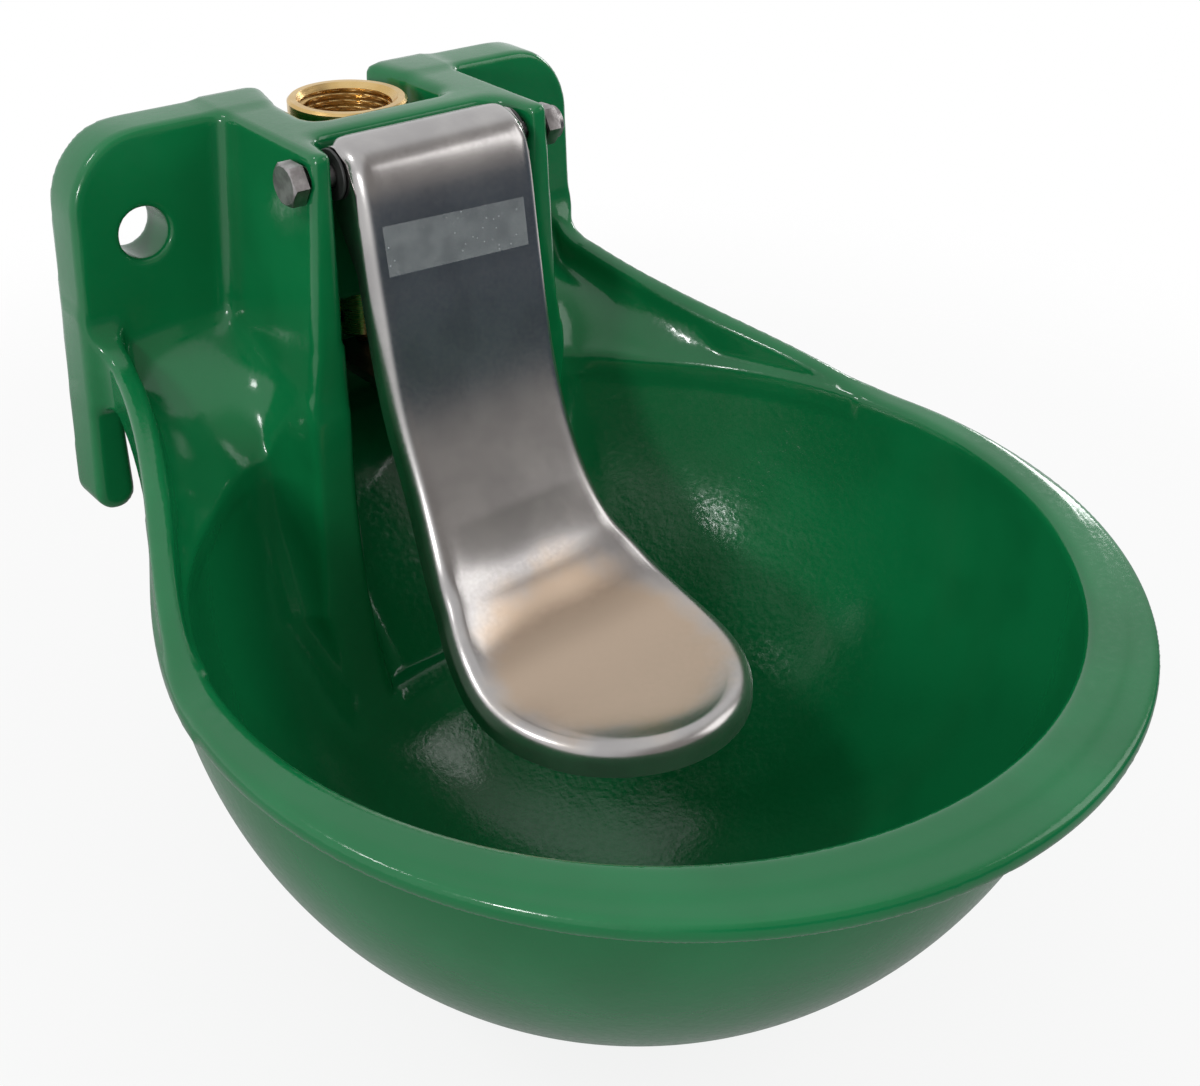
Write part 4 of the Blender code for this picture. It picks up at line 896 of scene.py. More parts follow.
        for bore in (seat, bolt, hole):
            solid = blend_max(solid, -bore, self.bore_edge)
        return solid

    def build(self) -> bpy.types.Object:
        """Skin the casting, thin its faces and lay its points and normals on the true surface."""
        step = self.step
        x = np.arange(0, 0.1225, step)
        y = np.arange(-0.2705, 0.0030, step)
        z = np.arange(-0.1245, 0.0900, step)
        right = self.distance(x[:, None, None], y[None, :, None], z[None, None, :])
        values = np.concatenate([right[:0:-1], right], axis=0).astype(np.float32)
        skin = FieldSkin(values, np.array([-x[-1], y[0], z[0]]), step)
        points, quads = skin.net()
        piece = make_piece("enamelled_casting", points, quads, 180.0)
        triangles = 2 * len(piece.data.polygons)
        if triangles > self.faces:
            thin = piece.modifiers.new("thinned", "DECIMATE")
            thin.ratio = self.faces / triangles
            settle_modifiers(piece, 180.0)
        skin.settle(piece.data)
        return dress(piece, ENAMEL, Body.BASE, "bowl_casting")


@dataclass
class FieldSkin:
    """Skins a solid that is given as a distance on a grid.

    Attributes:
        values: The distance at each grid point, negative inside.
        origin: Where the first grid point lies.
        step: The grid's spacing.
    """

    values: Array
    origin: Array
    step: float

    def net(self) -> tuple[Array, Array]:
        """Put a point in each cell that the surface crosses, and a quad across each crossed edge.

        Formula: the point is the mean of where the surface cuts the cell's edges, each found
        from the two end values by proportion.

        Returns:
            The points, and the quads facing out.
        """
        inside = self.values < 0
        cells_shape = tuple(n - 1 for n in inside.shape)
        count = np.zeros(cells_shape, np.int8)
        for shift in itertools.product((0, 1), repeat=3):
            count += inside[tuple(slice(s, s + n) for s, n in zip(shift, cells_shape))]
        active = (count > 0) & (count < 8)
        cells = np.argwhere(active)
        index = np.full(cells_shape, -1, np.int64)
        index[active] = np.arange(len(cells))
        total = np.zeros((len(cells), 3))
        hits = np.zeros((len(cells), 1))
        for axis in range(3):
            unit = np.eye(3, dtype=int)[axis]
            for pair in itertools.product((0, 1), repeat=2):
                start = cells + np.insert(pair, axis, 0)
                first = self.values[tuple(start.T)].astype(float)
                second = self.values[tuple((start + unit).T)].astype(float)
                crossed = (first < 0) != (second < 0)
                share = np.where(crossed, first / np.where(crossed, first - second, 1), 0)
                total += np.where(crossed[:, None], start + share[:, None] * unit, 0)
                hits += crossed[:, None]
        points = self.origin + self.step * total / hits
        quads = []
        for axis in range(3):
            u, v = (axis + 1) % 3, (axis + 2) % 3
            low = np.take(inside, range(inside.shape[axis] - 1), axis=axis)
            high = np.take(inside, range(1, inside.shape[axis]), axis=axis)
            edges = np.argwhere(low != high)
            edges = edges[(edges[:, u] > 0) & (edges[:, v] > 0)]
            around = []
            for du, dv in ((-1, -1), (0, -1), (0, 0), (-1, 0)):
                cell = edges.copy()
                cell[:, u] += du
                cell[:, v] += dv
                around.append(index[tuple(cell.T)])
            quad = np.stack(around, axis=1)
            outward = low[tuple(edges.T)]
            quads.append(np.where(outward[:, None], quad, quad[:, ::-1]))
        return points, np.vstack(quads)

    def sample(self, points: Array) -> Array:
        """Read the distance between grid points, in proportion along the three axes."""
        place = (points - self.origin) / self.step
        place = np.clip(place, 0, np.array(self.values.shape) - 1.001)
        base = place.astype(int)
        part = place - base
        total = np.zeros(len(points))
        for shift in itertools.product((0, 1), repeat=3):
            weight = np.prod(np.where(np.array(shift) == 1, part, 1 - part), axis=1)
            total += weight * self.values[tuple((base + shift).T)]
        return total

    def slope(self, points: Array) -> Array:
        """Return the distance's gradient: half the difference a step either way along each axis."""
        shifts = np.eye(3) * self.step
        parts = [(self.sample(points + s) - self.sample(points - s)) / (2 * self.step) for s in shifts]
        return np.stack(parts, axis=1)

    def settle(self, mesh: bpy.types.Mesh) -> None:
        """Move a mesh's points onto the surface and give it the surface's own normals."""
        points = np.zeros(len(mesh.vertices) * 3)
        mesh.vertices.foreach_get("co", points)
        points = points.reshape(-1, 3)
        for _ in range(3):
            slope = self.slope(points)
            size = np.maximum((slope**2).sum(axis=1), 0.05)
            points = points - np.clip(self.sample(points) / size, -self.step, self.step)[:, None] * slope
        mesh.vertices.foreach_set("co", points.ravel())
        mesh.update()
        normals = self.slope(points)
        normals /= np.maximum(np.linalg.norm(normals, axis=1), 1e-9)[:, None]
        mesh.normals_split_custom_set_from_vertices(normals.tolist())


# the tongue


@dataclass
class Tongue:
    """The pressed tongue, its clear film, and the lever welded behind it."""

    pivot: Pair = (-0.0536, 0.0790)
    half: float = 0.0275
    sheet: float = 0.0018
    roll: float = 0.0048
    pad_half: float = 0.039
    pad_y: float = -0.1285
    pad_tip: float = -0.1715
    pad_z: float = -0.0385
    dish: float = 0.0016
    flange: float = 0.0035
    eye_radius: float = 0.0068
    bore: float = 0.0053
    lever_top: float = 0.012
    lever_sheet: float = 0.003
    lever_half: float = 0.011
    lever_rear: float = -0.0134
    lever_high: float = 0.034
    film_left: float = -0.0231
    film_right: float = 0.0213
    film_heights: Pair = (0.0672, 0.0549)
    film_tilt: float = -0.040
    film_faces: Pair = (-0.00022, -0.00010)
    tooth: float = 0.0010
    tooth_depth: float = 0.0007
    bend_radius: float = 0.0028
    bead: float = 0.0013
    bead_ripple: float = 0.00016
    bead_pitch: float = 0.0016
    spine_points: int = 900

    def spine(self) -> Array:
        """Return y, z points down the middle of the front, evenly spaced, run on past the tip."""
        py, pz = self.pivot
        shoulder = py - 0.0125
        points = [
            (py + 0.0040, pz + 0.0076), (py - 0.0010, pz + 0.0084), (py - 0.0082, pz + 0.0054),
            (shoulder, pz - 0.003), (shoulder - 0.0048, 0.050), (shoulder - 0.0110, 0.022),
            (shoulder - 0.0200, 0.000), (shoulder - 0.0305, -0.018),
            (self.pad_y + 0.0225, self.pad_z + 0.0120), (self.pad_y + 0.0125, self.pad_z + 0.0046),
            (self.pad_y, self.pad_z), (self.pad_y - 0.0180, self.pad_z - 0.0010),
            (self.pad_tip + self.roll, self.pad_z),
        ]
        curve = smooth_line(np.array(points), self.spine_points)
        run = curve[-1] + np.arange(1, 60)[:, None] * (curve[-1] - curve[-2])
        return np.vstack([curve, run])

    def carry(self, along: Array, across: Array, drop: Array) -> Array:
        """Carry flat sheet places onto the bent sheet.

        Formula: the spine's point at that length, moved sideways by across, and by drop back
        along the spine's own normal.

        Args:
            along: Length down the sheet from its top edge.
            across: Distance right of the middle.
            drop: Distance behind the front face.

        Returns:
            Points, one row each in the last axis.
        """
        spine = self.spine()
        length = np.concatenate([[0], np.cumsum(np.linalg.norm(np.diff(spine, axis=0), axis=1))])
        tangent = np.gradient(spine, axis=0)
        tangent /= np.linalg.norm(tangent, axis=1)[:, None]
        read = [np.interp(along, length, column) for column in (*spine.T, *tangent.T)]
        y, z, ty, tz = read
        return np.stack([across + 0 * y, y - tz * drop, z + ty * drop], axis=-1)

    def border(self) -> tuple[Array, Array]:
        """Return the flat front's right edge, and the middle line that it is filled from.

        Formula: even down the stem, eased out to the pad by a smooth step, then a quarter of
        an ellipse round the tip.

        Returns:
            Edge places as rows of length and width, and the lengths along the middle.
        """
        spine = self.spine()
        length = np.concatenate([[0], np.cumsum(np.linalg.norm(np.diff(spine, axis=0), axis=1))])
        end = length[self.spine_points - 1]
        lower = slice(300, self.spine_points)
        middle = np.interp(-self.pad_y, -spine[lower, 0], length[lower])
        straight = np.linspace(0, middle, 130)
        y = np.interp(straight, length, spine[:, 0])
        share = np.clip((self.pad_y + 0.046 - y) / 0.046, 0, 1)
        share[:40] = 0
        ease = share**2 * (3 - 2 * share)
        width = self.half - self.roll + (self.pad_half - self.half) * ease
        corner = np.clip(straight / 0.0035, 0, 1)
        width = width - 0.0022 * (1 - np.sqrt(1 - (1 - corner) ** 2))
        turn = np.linspace(0, np.pi / 2, 44)[1:]
        reach, half = end - middle, self.pad_half - self.roll
        tip = np.stack([middle + reach * np.sin(turn), half * np.cos(turn)], axis=1)
        edge = np.vstack([np.stack([straight, width], axis=1), tip])
        core = np.concatenate([straight, middle + 0.62 * (tip[:, 0] - middle)])
        return edge, core

    def press(self) -> bpy.types.Object:
        """Press the sheet: flat front, dished pad, and edges rolled back through a right angle.

        Formula: rows of the grid run from the middle line to the edge, then round the roll by
        its radius times (sin a, 1 - cos a), then straight back by the flange.

        Returns:
            The tongue, with the sides that hold the pivot joined on and the bore cut.
        """
        edge, core = self.border()
        along = np.gradient(edge, axis=0)
        along[-1] = (0.0, -1.0)
        outward = np.stack([-along[:, 1], along[:, 0]], axis=1)
        outward /= np.linalg.norm(outward, axis=1)[:, None]
        outward *= np.sign(outward[5, 1])
        fill = np.linspace(0, 1, 12)
        turn = np.radians(np.linspace(0, 90, 10))[1:]
        skirt = np.interp(edge[:, 0], [0.008, 0.020], [0.0006, self.flange])
        rows_s = [core + (edge[:, 0] - core) * f for f in fill]
        rows_x = [edge[:, 1] * f for f in fill]
        on_pad = np.clip((edge[:, 0] - edge[90, 0]) / 0.020, 0, 1)
        rows_d = [self.dish * on_pad * (1 - f**3) + 0 * core for f in fill]
        for a in turn:
            rows_s.append(edge[:, 0] + outward[:, 0] * self.roll * np.sin(a))
            rows_x.append(edge[:, 1] + outward[:, 1] * self.roll * np.sin(a))
            rows_d.append(np.full(len(edge), self.roll * (1 - np.cos(a))))
        last = len(fill) + len(turn) - 1
        for share in (0.5, 1.0):
            rows_s.append(rows_s[last])
            rows_x.append(rows_x[last])
            rows_d.append(self.roll + skirt * share)
        right = self.carry(np.array(rows_s), np.array(rows_x), np.array(rows_d))
        left = right * np.array([-1.0, 1.0, 1.0])
        faces = grid_faces(*right.shape[:2])
        points = np.vstack([right.reshape(-1, 3), left.reshape(-1, 3)])
        faces = np.vstack([faces, faces[:, ::-1] + right.shape[0] * right.shape[1]])
        piece = make_piece("pressed_tongue", points, faces, 50.0)
        piece.data.update()
        normal = max(piece.data.polygons, key=lambda p: p.area).normal
        if normal.y > 0.2 or normal.z < -0.2:
            piece.data.flip_normals()
        wall = piece.modifiers.new("sheet", "SOLIDIFY")
        wall.thickness = self.sheet
        wall.offset = -1.0
        wall.use_even_offset = True
        settle_modifiers(piece, 50.0)
        for side in (1, -1):
            cut(piece, self.cheek(side), "UNION")
        rod = [(0, -0.05), (self.bore, -0.05), (self.bore, 0.05), (0, 0.05)]
        tool = lathe("eye_bore", *outline_columns(rod), (0, *self.pivot), Axis.RIGHT, False)
        cut(piece, tool)
        return dress(piece, STEEL, Body.TONGUE, "paddle")

    def cheek(self, side: int) -> bpy.types.Object:
        """Return the side that folds back round the pivot, as a plate between two outlines."""
        py, pz = self.pivot
        eye = arc((py, pz), self.eye_radius, -60, 100, 24)
        rest = [
            (py - 0.0060, pz + 0.0040), (py - 0.0095, pz - 0.0030), (py - 0.0110, pz - 0.0200),
            (py - 0.0130, pz - 0.0340), (py - 0.0070, pz - 0.0230),
        ]
        outline = np.vstack([eye, rest])
        outer, inner = self.half - 0.0001, self.half - self.sheet + 0.0001
        return plate("cheek", outline, side * inner, side * outer)

    def behind(self, z: Array) -> Array:
        """Return the y of the sheet's back at heights on the stem."""
        spine = self.spine()[250:760]
        order = np.argsort(spine[:, 1])
        return np.interp(z, spine[order, 1], spine[order, 0]) + self.sheet + 0.0008

    def lever(self) -> None:
        """Bend the lever plate, and lay a weld bead up each side of it."""
        low = self.lever_top - self.lever_sheet
        up = np.linspace(low, self.lever_high, 12)
        radius = self.bend_radius
        down = np.linspace(self.lever_high, self.lever_top + radius, 12)
        inner = np.column_stack([self.behind(down) + self.lever_sheet, down])
        bend = arc((inner[-1, 0] + radius, self.lever_top + radius), radius, 180, 270, 6)[1:]
        tip = [[self.lever_rear, self.lever_top], [self.lever_rear, low]]
        parts = [tip, np.column_stack([self.behind(up), up]), inner, bend]
        piece = plate("bent_lever_plate", np.vstack(parts), -self.lever_half, self.lever_half)
        soften(piece, 0.0004)
        dress(piece, PLAIN_STEEL, Body.TONGUE, "lever_plate")
        self.weld("weld_bead_left", -1)
        self.weld("weld_bead_right", 1)

    def weld(self, name: str, side: int) -> None:
        """Lay a weld bead up one side of the lever.

        Formula: circles up the joint, with a radius of bead plus ripple times a sine of the
        height, and fading to a point over one pitch at each end.

        Args:
            name: Name of the piece.
            side: 1 for the right side, -1 for the left.
        """
        z = np.linspace(0.0150, self.lever_high - 0.0012, 60)
        x = np.full(60, side * (self.lever_half + 0.0006))
        path = np.stack([x, self.behind(z) - 0.0002, z], axis=1)
        swell = self.bead + self.bead_ripple * np.sin(z * 2 * np.pi / self.bead_pitch)
        near_end = np.minimum(z - z[0], z[-1] - z)
        ends = np.sqrt(np.clip(near_end / self.bead_pitch, 0.02, 1))
        turn = np.linspace(0, 2 * np.pi, 14, endpoint=False)
        offset = np.stack([np.cos(turn), np.sin(turn), 0 * turn], axis=1)
        points = path[:, None, :] + (swell * ends)[:, None, None] * offset[None]
        first, last = path[:1, None, :] + 0 * points[:1], path[-1:, None, :] + 0 * points[:1]
        points = np.concatenate([first, points, last])
        dress(make_piece(name, points, grid_faces(62, 14, wrap_columns=True)), WELD, Body.TONGUE)

    def film(self) -> None:
        """Lay the clear film on the stem: a thin sheet with saw-cut upper and lower edges.

        Formula: length down the sheet is even from top to bottom, leans with the distance
        across, and swings by a triangle wave along the two cut edges.
        """
        spine = self.spine()
        length = np.concatenate([[0], np.cumsum(np.linalg.norm(np.diff(spine, axis=0), axis=1))])
        top, bottom = (np.interp(-h, -spine[120:500, 1], length[120:500]) for h in self.film_heights)
        across = np.linspace(self.film_left, self.film_right, 90)
        tooth = self.tooth_depth * np.abs((across / self.tooth) % 1.0 - 0.5)
        share = np.linspace(0, 1, 14)[:, None]
        lean = -self.film_tilt * across[None, :]
        outwards = np.where(share == 0, -1, np.where(share == 1, 1, 0))
        along = top + (bottom - top) * share + lean + tooth[None, :] * outwards
        wide = np.broadcast_to(across, along.shape)
        front, back = (self.carry(along, wide, np.full(along.shape, drop)) for drop in self.film_faces)
        points = np.concatenate([front, back[::-1]])
        faces = grid_faces(*points.shape[:2], wrap_rows=True)
        rows, columns = points.shape[:2]
        ends = []
        for column in (0, columns - 1):
            row = np.arange(rows // 2 - 1)
            far = rows - 1 - row
            ends.append(np.stack([row, row + 1, far - 1, far], axis=1) * columns + column)
        dress(make_piece("clear_film", points, np.vstack([faces, *ends])), FILM, Body.TONGUE)

    def build(self) -> None:
        """Build the tongue's pieces."""
        self.press()
        self.film()
        self.lever()


def plate(name: str, outline: Array, near: float, far: float) -> bpy.types.Object:
    """Stand a flat plate between two x places, from its outline in y and z."""
    sides = [np.column_stack([np.full(len(outline), x), outline]) for x in (near, far)]
    count = len(outline)
    mesh = bpy.data.meshes.new(name)
    rim = grid_faces(2, count, wrap_columns=True).tolist()
    faces = rim + [list(range(count)), list(range(count, 2 * count))]
    mesh.from_pydata(np.vstack(sides).tolist(), [], faces)
    shape = bmesh.new()
    shape.from_mesh(mesh)
    bmesh.ops.recalc_face_normals(shape, faces=shape.faces)
    shape.to_mesh(mesh)
    shape.free()
    made = bpy.data.objects.new(name, mesh)
    bpy.context.scene.collection.objects.link(made)
    return made


# the pivot


@dataclass
class Pivot:
    """The bolt through the housing, its lock nut, and the tube and bushes between the walls."""

    place: Triple = (0.0, -0.0536, 0.0790)
    shank: float = 0.003
    flats: float = 0.010
    head: float = 0.0042
    nut: float = 0.0060
    past: float = 0.0010
    pitch: float = 0.0010
    seat: float = 0.0377
    play: float = 0.0003
    tube: float = 0.0060
    tube_half: float = 0.0217
    sleeve: float = 0.0050
    flange: float = 0.0065
    flange_seat: float = 0.0286
    chamfer: float = 0.0002

    def head_rows(self, base: float, top: float) -> tuple[list[Array], list[Array]]:
        """Return a hexagon's rows from its base edge to its chamfered top circle.

        Formula: the chamfer is a cone of 30 degrees, so the side's height falls with the
        hexagon's radius beyond the circle.
        """
        radius = hexagon(self.flats)
        circle = self.flats / 2 * 0.95
        up = 1 if top > base else -1
        fall = (radius - circle) * math.tan(math.radians(30)) * up
        even = np.ones_like(radius)
        return [radius, radius, circle * even], [base * even, top - fall, top * even]

    def bolt(self) -> None:
        """Turn the hexagon bolt, threaded towards its right end."""
        radii, heights = self.head_rows(-self.seat, -self.seat - self.head)
        even = np.ones(72)
        rows_r = [0 * even, radii[2], radii[1], radii[0], self.shank * even]
        rows_z = [heights[2], heights[2], heights[1], heights[0], heights[0]]
        end = self.seat + self.nut + self.past
        z = np.linspace(end - 0.020, end - 0.0010, 150)[:, None]
        turn = 2 * np.pi * np.arange(72)[None, :] / 72
        ease = np.clip((z - z[0]) / 0.0012, 0, 1)
        depth = 0.00045 * thread_wave(z, turn, self.pitch) * ease
        rows_r += list(self.shank - depth)
        rows_z += list(z + 0 * turn)
        rows_r += [0.0023 * even, 0 * even]
        rows_z += [end * even, end * even]
        rows = np.array(rows_r), np.array(rows_z)
        piece = lathe("hexagon_bolt", *rows, self.place, Axis.RIGHT, False, 28.0)
        dress(piece, ZINC, Body.BASE, "pivot_bolt")

    def lock_nut(self) -> None:
        """Turn the lock nut and the nylon ring that its collar holds."""
        even = np.ones(72)
        bore = self.shank + self.play
        low, high = self.seat, self.seat + self.nut
        shoulder = high - 0.0018
        up_r, up_z = self.head_rows(low + 0.0004, shoulder)
        collar = [0.0044 * even, 0.0044 * even, 0.0041 * even]
        rows_r = [bore * even, hexagon(self.flats) * 0.96, *up_r, *collar]
        rows_z = [low * even, low * even, *up_z, shoulder * even, (high - 0.0003) * even, high * even]
        rows_r += [0.0038 * even, 0.0038 * even, bore * even]
        rows_z += [high * even, shoulder * even, shoulder * even]
        rows = np.array(rows_r), np.array(rows_z)
        nut = lathe("lock_nut", *rows, self.place, Axis.RIGHT, sharp=28.0)
        dress(nut, ZINC, Body.BASE, "pivot_nut")
        ring = [
            (bore, high - 0.0015), (0.0036, high - 0.0015), (0.0036, high - 0.0004),
            (0.0034, high - 0.0002), (bore, high - 0.0002),
        ]
        insert = lathe("lock_ring", *outline_columns(ring), self.place, Axis.RIGHT)
        dress(insert, BLUE_NYLON, Body.BASE, "nut_insert")

    def sleeves(self) -> None:
        """Turn the spacer tube and the two flanged bushes."""
        bore, nick = self.shank + self.play, self.chamfer
        reach, outer = self.tube_half, self.tube
        tube = [
            (bore, -reach), (outer - nick, -reach), (outer, -reach + nick), (outer, reach - nick),
            (outer - nick, reach), (bore, reach),
        ]
        spacer = lathe("spacer_tube", *outline_columns(tube), self.place, Axis.RIGHT)
        dress(spacer, ZINC, Body.BASE, "pivot_tube")
        start, end = reach + self.play, self.flange_seat
        back = end - 0.0008
        bush = [
            (bore, start), (self.sleeve, start), (self.sleeve, back), (self.flange - nick, back),
            (self.flange, back + nick), (self.flange, end - nick), (self.flange - nick, end), (bore, end),
        ]
        for axis, side in ((Axis.LEFT, "left"), (Axis.RIGHT, "right")):
            made = lathe(f"flanged_bush_{side}", *outline_columns(bush), self.place, axis)
            dress(made, DARK_NYLON, Body.TONGUE, f"bush_{side}")

    def build(self) -> None:
        """Build the pivot's pieces."""
        self.bolt()
        self.lock_nut()
        self.sleeves()


# the valve


@dataclass
class Valve:
    """The brass inlet valve, on a vertical axis behind the bridge, and what it holds."""

    y: float = -0.0179
    top: float = 0.085
    radius: float = 0.0163
    bore: float = 0.0121
    thread_depth: float = 0.0011
    pitch: float = 0.001814
    web: float = 0.048
    shank: float = 0.0082
    shank_bottom: float = 0.0168
    outlet: float = 0.0045
    stem: float = 0.0022
    play: float = 0.0003
    web_thickness: float = 0.008
    washer: float = 0.0015
    nut: float = 0.0055
    nut_flats: float = 0.022
    sieve_low: float = 0.0688
    sieve_lip: float = 0.0009
    sieve_radius: float = 0.0084
    sieve_rise: float = 0.0044
    sieve_sheet: float = 0.0003

    @property
    def place(self) -> Triple:
        """The foot of the valve's axis."""
        return (0.0, self.y, 0.0)

    def body(self) -> None:
        """Turn the body with its pipe thread, and drill the ports and the screw's hole."""
        flange = self.web + 2 * self.play + 0.0015
        floor, shoulder = 0.0500, 0.0666
        outer = [
            (self.radius - 0.0007, self.top), (self.radius, self.top - 0.0007),
            (self.radius, flange + 0.0004), (self.radius - 0.0004, flange),
            (self.shank, flange), (self.shank, self.shank_bottom + 0.001),
            (self.shank - 0.001, self.shank_bottom), (self.stem + self.play, self.shank_bottom),
            (self.stem + self.play, self.shank_bottom + 0.0025), (self.outlet, self.shank_bottom + 0.0025),
            (self.outlet, floor), (0.0084, floor), (0.0084, shoulder), (0.0112, shoulder),
            (0.0112, shoulder + 0.0052), (self.bore, shoulder + 0.0052),
        ]
        count = 120
        rows_r, rows_z = (list(part) for part in outline_columns(outer, count))
        turn = 2 * np.pi * np.arange(count)[None, :] / count
        z = np.linspace(shoulder + 0.0056, self.top - 0.0014, 110)[:, None]
        ease = np.clip((z - z[0]) / 0.0016, 0, 1)
        rise = self.thread_depth * thread_wave(z, turn, self.pitch) * ease
        rows_r += list(self.bore + rise)
        rows_z += list(z + 0 * turn)
        rows_r.append(np.full(count, self.bore + self.thread_depth + 0.0006))
        rows_z.append(np.full(count, self.top))
        rows = np.array(rows_r), np.array(rows_z)
        piece = lathe("inlet_valve_body", *rows, self.place, Axis.UP, True, 32.0)
        side = [(0, -0.02), (0.003, -0.02), (0.003, 0.02), (0, 0.02)]
        cut(piece, lathe("ports", *outline_columns(side, 40), (0, self.y, 0.0228), Axis.RIGHT, False))
        drill = [(0, 0.0), (0.0025, 0.0), (0.0025, 0.02), (0, 0.02)]
        cut(piece, lathe("drill", *outline_columns(drill, 40), (0, self.y, 0.028), Axis.FRONT, False))
        dress(piece, BRASS, Body.BASE, "valve_body")

    def turn(
        self,
        name: str,
        outline: list[Pair],
        finish: Finish,
        node: str,
        body: Body = Body.BASE,
        ring: bool = True,
    ) -> None:
        """Turn one small piece on the valve's axis.

        Args:
            name: Name of the piece.
            outline: Its outline as (radius, height) pairs.
            finish: Its finish.
            node: The node that it stands for.
            body: The body that carries it.
            ring: Whether the outline closes on itself.
        """
        dress(lathe(name, *outline_columns(outline), self.place, Axis.UP, ring), finish, body, node)

    def clamp(self) -> None:
        """Turn the gasket, the washer and the lock nut that hold the valve in the web."""
        low, bore = self.web + self.play, self.shank + self.play
        thick = self.washer
        gasket = [
            (bore, low), (0.0150, low), (0.0152, low + 0.0002), (0.0152, low + 0.0013),
            (0.0150, low + thick), (bore, low + thick),
        ]
        self.turn("fibre_gasket", gasket, FIBRE, "valve_gasket")
        under = self.web - self.web_thickness - self.play
        washer = [
            (bore, under - thick), (0.0110, under - thick), (0.0112, under - 0.0013),
            (0.0112, under - 0.0002), (0.0110, under), (bore, under),
        ]
        self.turn("clamp_washer", washer, ZINC, "lock_washer")
        top = under - thick - self.play
        low = top - self.nut
        radius, even = hexagon(self.nut_flats), np.ones(72)
        circle = self.nut_flats / 2 - 0.0004
        fall = (radius - circle) * math.tan(math.radians(30))
        rows_r = [bore * even, circle * even, radius, radius, circle * even, bore * even]
        rows_z = [low * even, low * even, low + fall, top - fall, top * even, top * even]
        nut = lathe("brass_lock_nut", np.array(rows_r), np.array(rows_z), self.place, sharp=28.0)
        dress(nut, BRASS, Body.BASE, "valve_lock_nut")

    def inside(self) -> None:
        """Turn the seat, seal, stem and ring inside the body."""
        ring = arc((0.0068, 0.0511), 0.0008, 0, 345, 24)
        self.turn("seat_ring", [tuple(p) for p in ring], RUBBER, "seat_o_ring")
        seat = [
            (0.0033, 0.0522), (0.0081, 0.0522), (0.0081, 0.0539), (0.0052, 0.0539), (0.0048, 0.0546),
            (0.0040, 0.0546),
        ]
        self.turn("nylon_seat", seat, NYLON, "seat_insert")
        disc = [(0.0025, 0.0549), (0.0060, 0.0549), (0.0060, 0.0564), (0.0025, 0.0564)]
        self.turn("seal_disc", disc, RUBBER, "stem_seal", Body.STEM)
        stem = [
            (0, 0.0123), (0.0012, 0.0123), (0.0018, 0.0126), (self.stem, 0.0133), (self.stem, 0.0567),
            (0.0062, 0.0567), (0.0062, 0.0583), (0.0026, 0.0583), (0.0026, 0.0609), (0.0018, 0.0615),
            (0, 0.0615),
        ]
        self.turn("lift_stem", stem, BRASS, "valve_stem", Body.STEM, False)

    def sieve(self) -> None:
        """Perforate the sieve: a domed grid with some of its cells left out.

        Formula: the dome's rows are its radius times cos a across and its rise times sin a up,
        with a from 0 to almost a right angle, and two cells of every four in every second row
        are open.
        """
        low, brim, wide = self.sieve_low, self.sieve_low + self.sieve_lip, self.sieve_radius
        profile = np.array([(0.0109, low), (0.0109, brim), (wide, brim)])
        t = np.linspace(0, 1, 15)[1:, None] * 1.45
        dome = np.hstack([wide * np.cos(t), brim + self.sieve_rise * np.sin(t)])
        rows = np.vstack([profile, dome])
        count = 96
        turn = 2 * np.pi * np.arange(count) / count
        radius, height = rows[:, :1], rows[:, 1:]
        places = [radius * np.cos(turn), self.y + radius * np.sin(turn), height + 0 * turn]
        points = np.stack(places, axis=-1)
        row, column = np.meshgrid(np.arange(len(rows) - 1), np.arange(count), indexing="ij")
        open_cell = (row >= 3) & (row < len(rows) - 3) & (row % 2 == 1) & ((column + row) % 4 < 2)
        faces = grid_faces(len(rows), count, wrap_columns=True)[~open_cell.ravel()]
        crown = (len(rows) - 1) * count + np.arange(count)
        points = np.vstack([points.reshape(-1, 3), [[0, self.y, rows[-1, 1] + 0.0001]]])
        hub = len(points) - 1
        cap = np.stack([crown, np.roll(crown, -1), np.full(count, hub)], axis=1)
        mesh = bpy.data.meshes.new("domed_sieve")
        mesh.from_pydata(points.tolist(), [], faces.tolist() + cap.tolist())
        mesh.shade_smooth()
        piece = bpy.data.objects.new("domed_sieve", mesh)
        bpy.context.scene.collection.objects.link(piece)
        wall = piece.modifiers.new("sheet", "SOLIDIFY")
        wall.thickness = self.sieve_sheet
        wall.offset = 0.0
        settle_modifiers(piece)
        dress(piece, PLAIN_STEEL, Body.BASE, "inlet_strainer")

    def build(self) -> None:
        """Build the valve's pieces."""
        self.body()
        self.clamp()
        self.inside()
        self.sieve()


CAD_FINISHES: dict[str, Finish] = {
    "spring_cap": BRASS,
    "valve_spring": SPRING,
    "strainer_ring": SPRING,
    "flow_screw": BRASS,
    "flow_screw_o_ring": RUBBER,
}


# the studio


@dataclass(frozen=True)
class Lamp:
    """A soft square lamp: its name, place, side in metres and power in watts."""

    name: str
    place: Triple
    side: float
    power: float


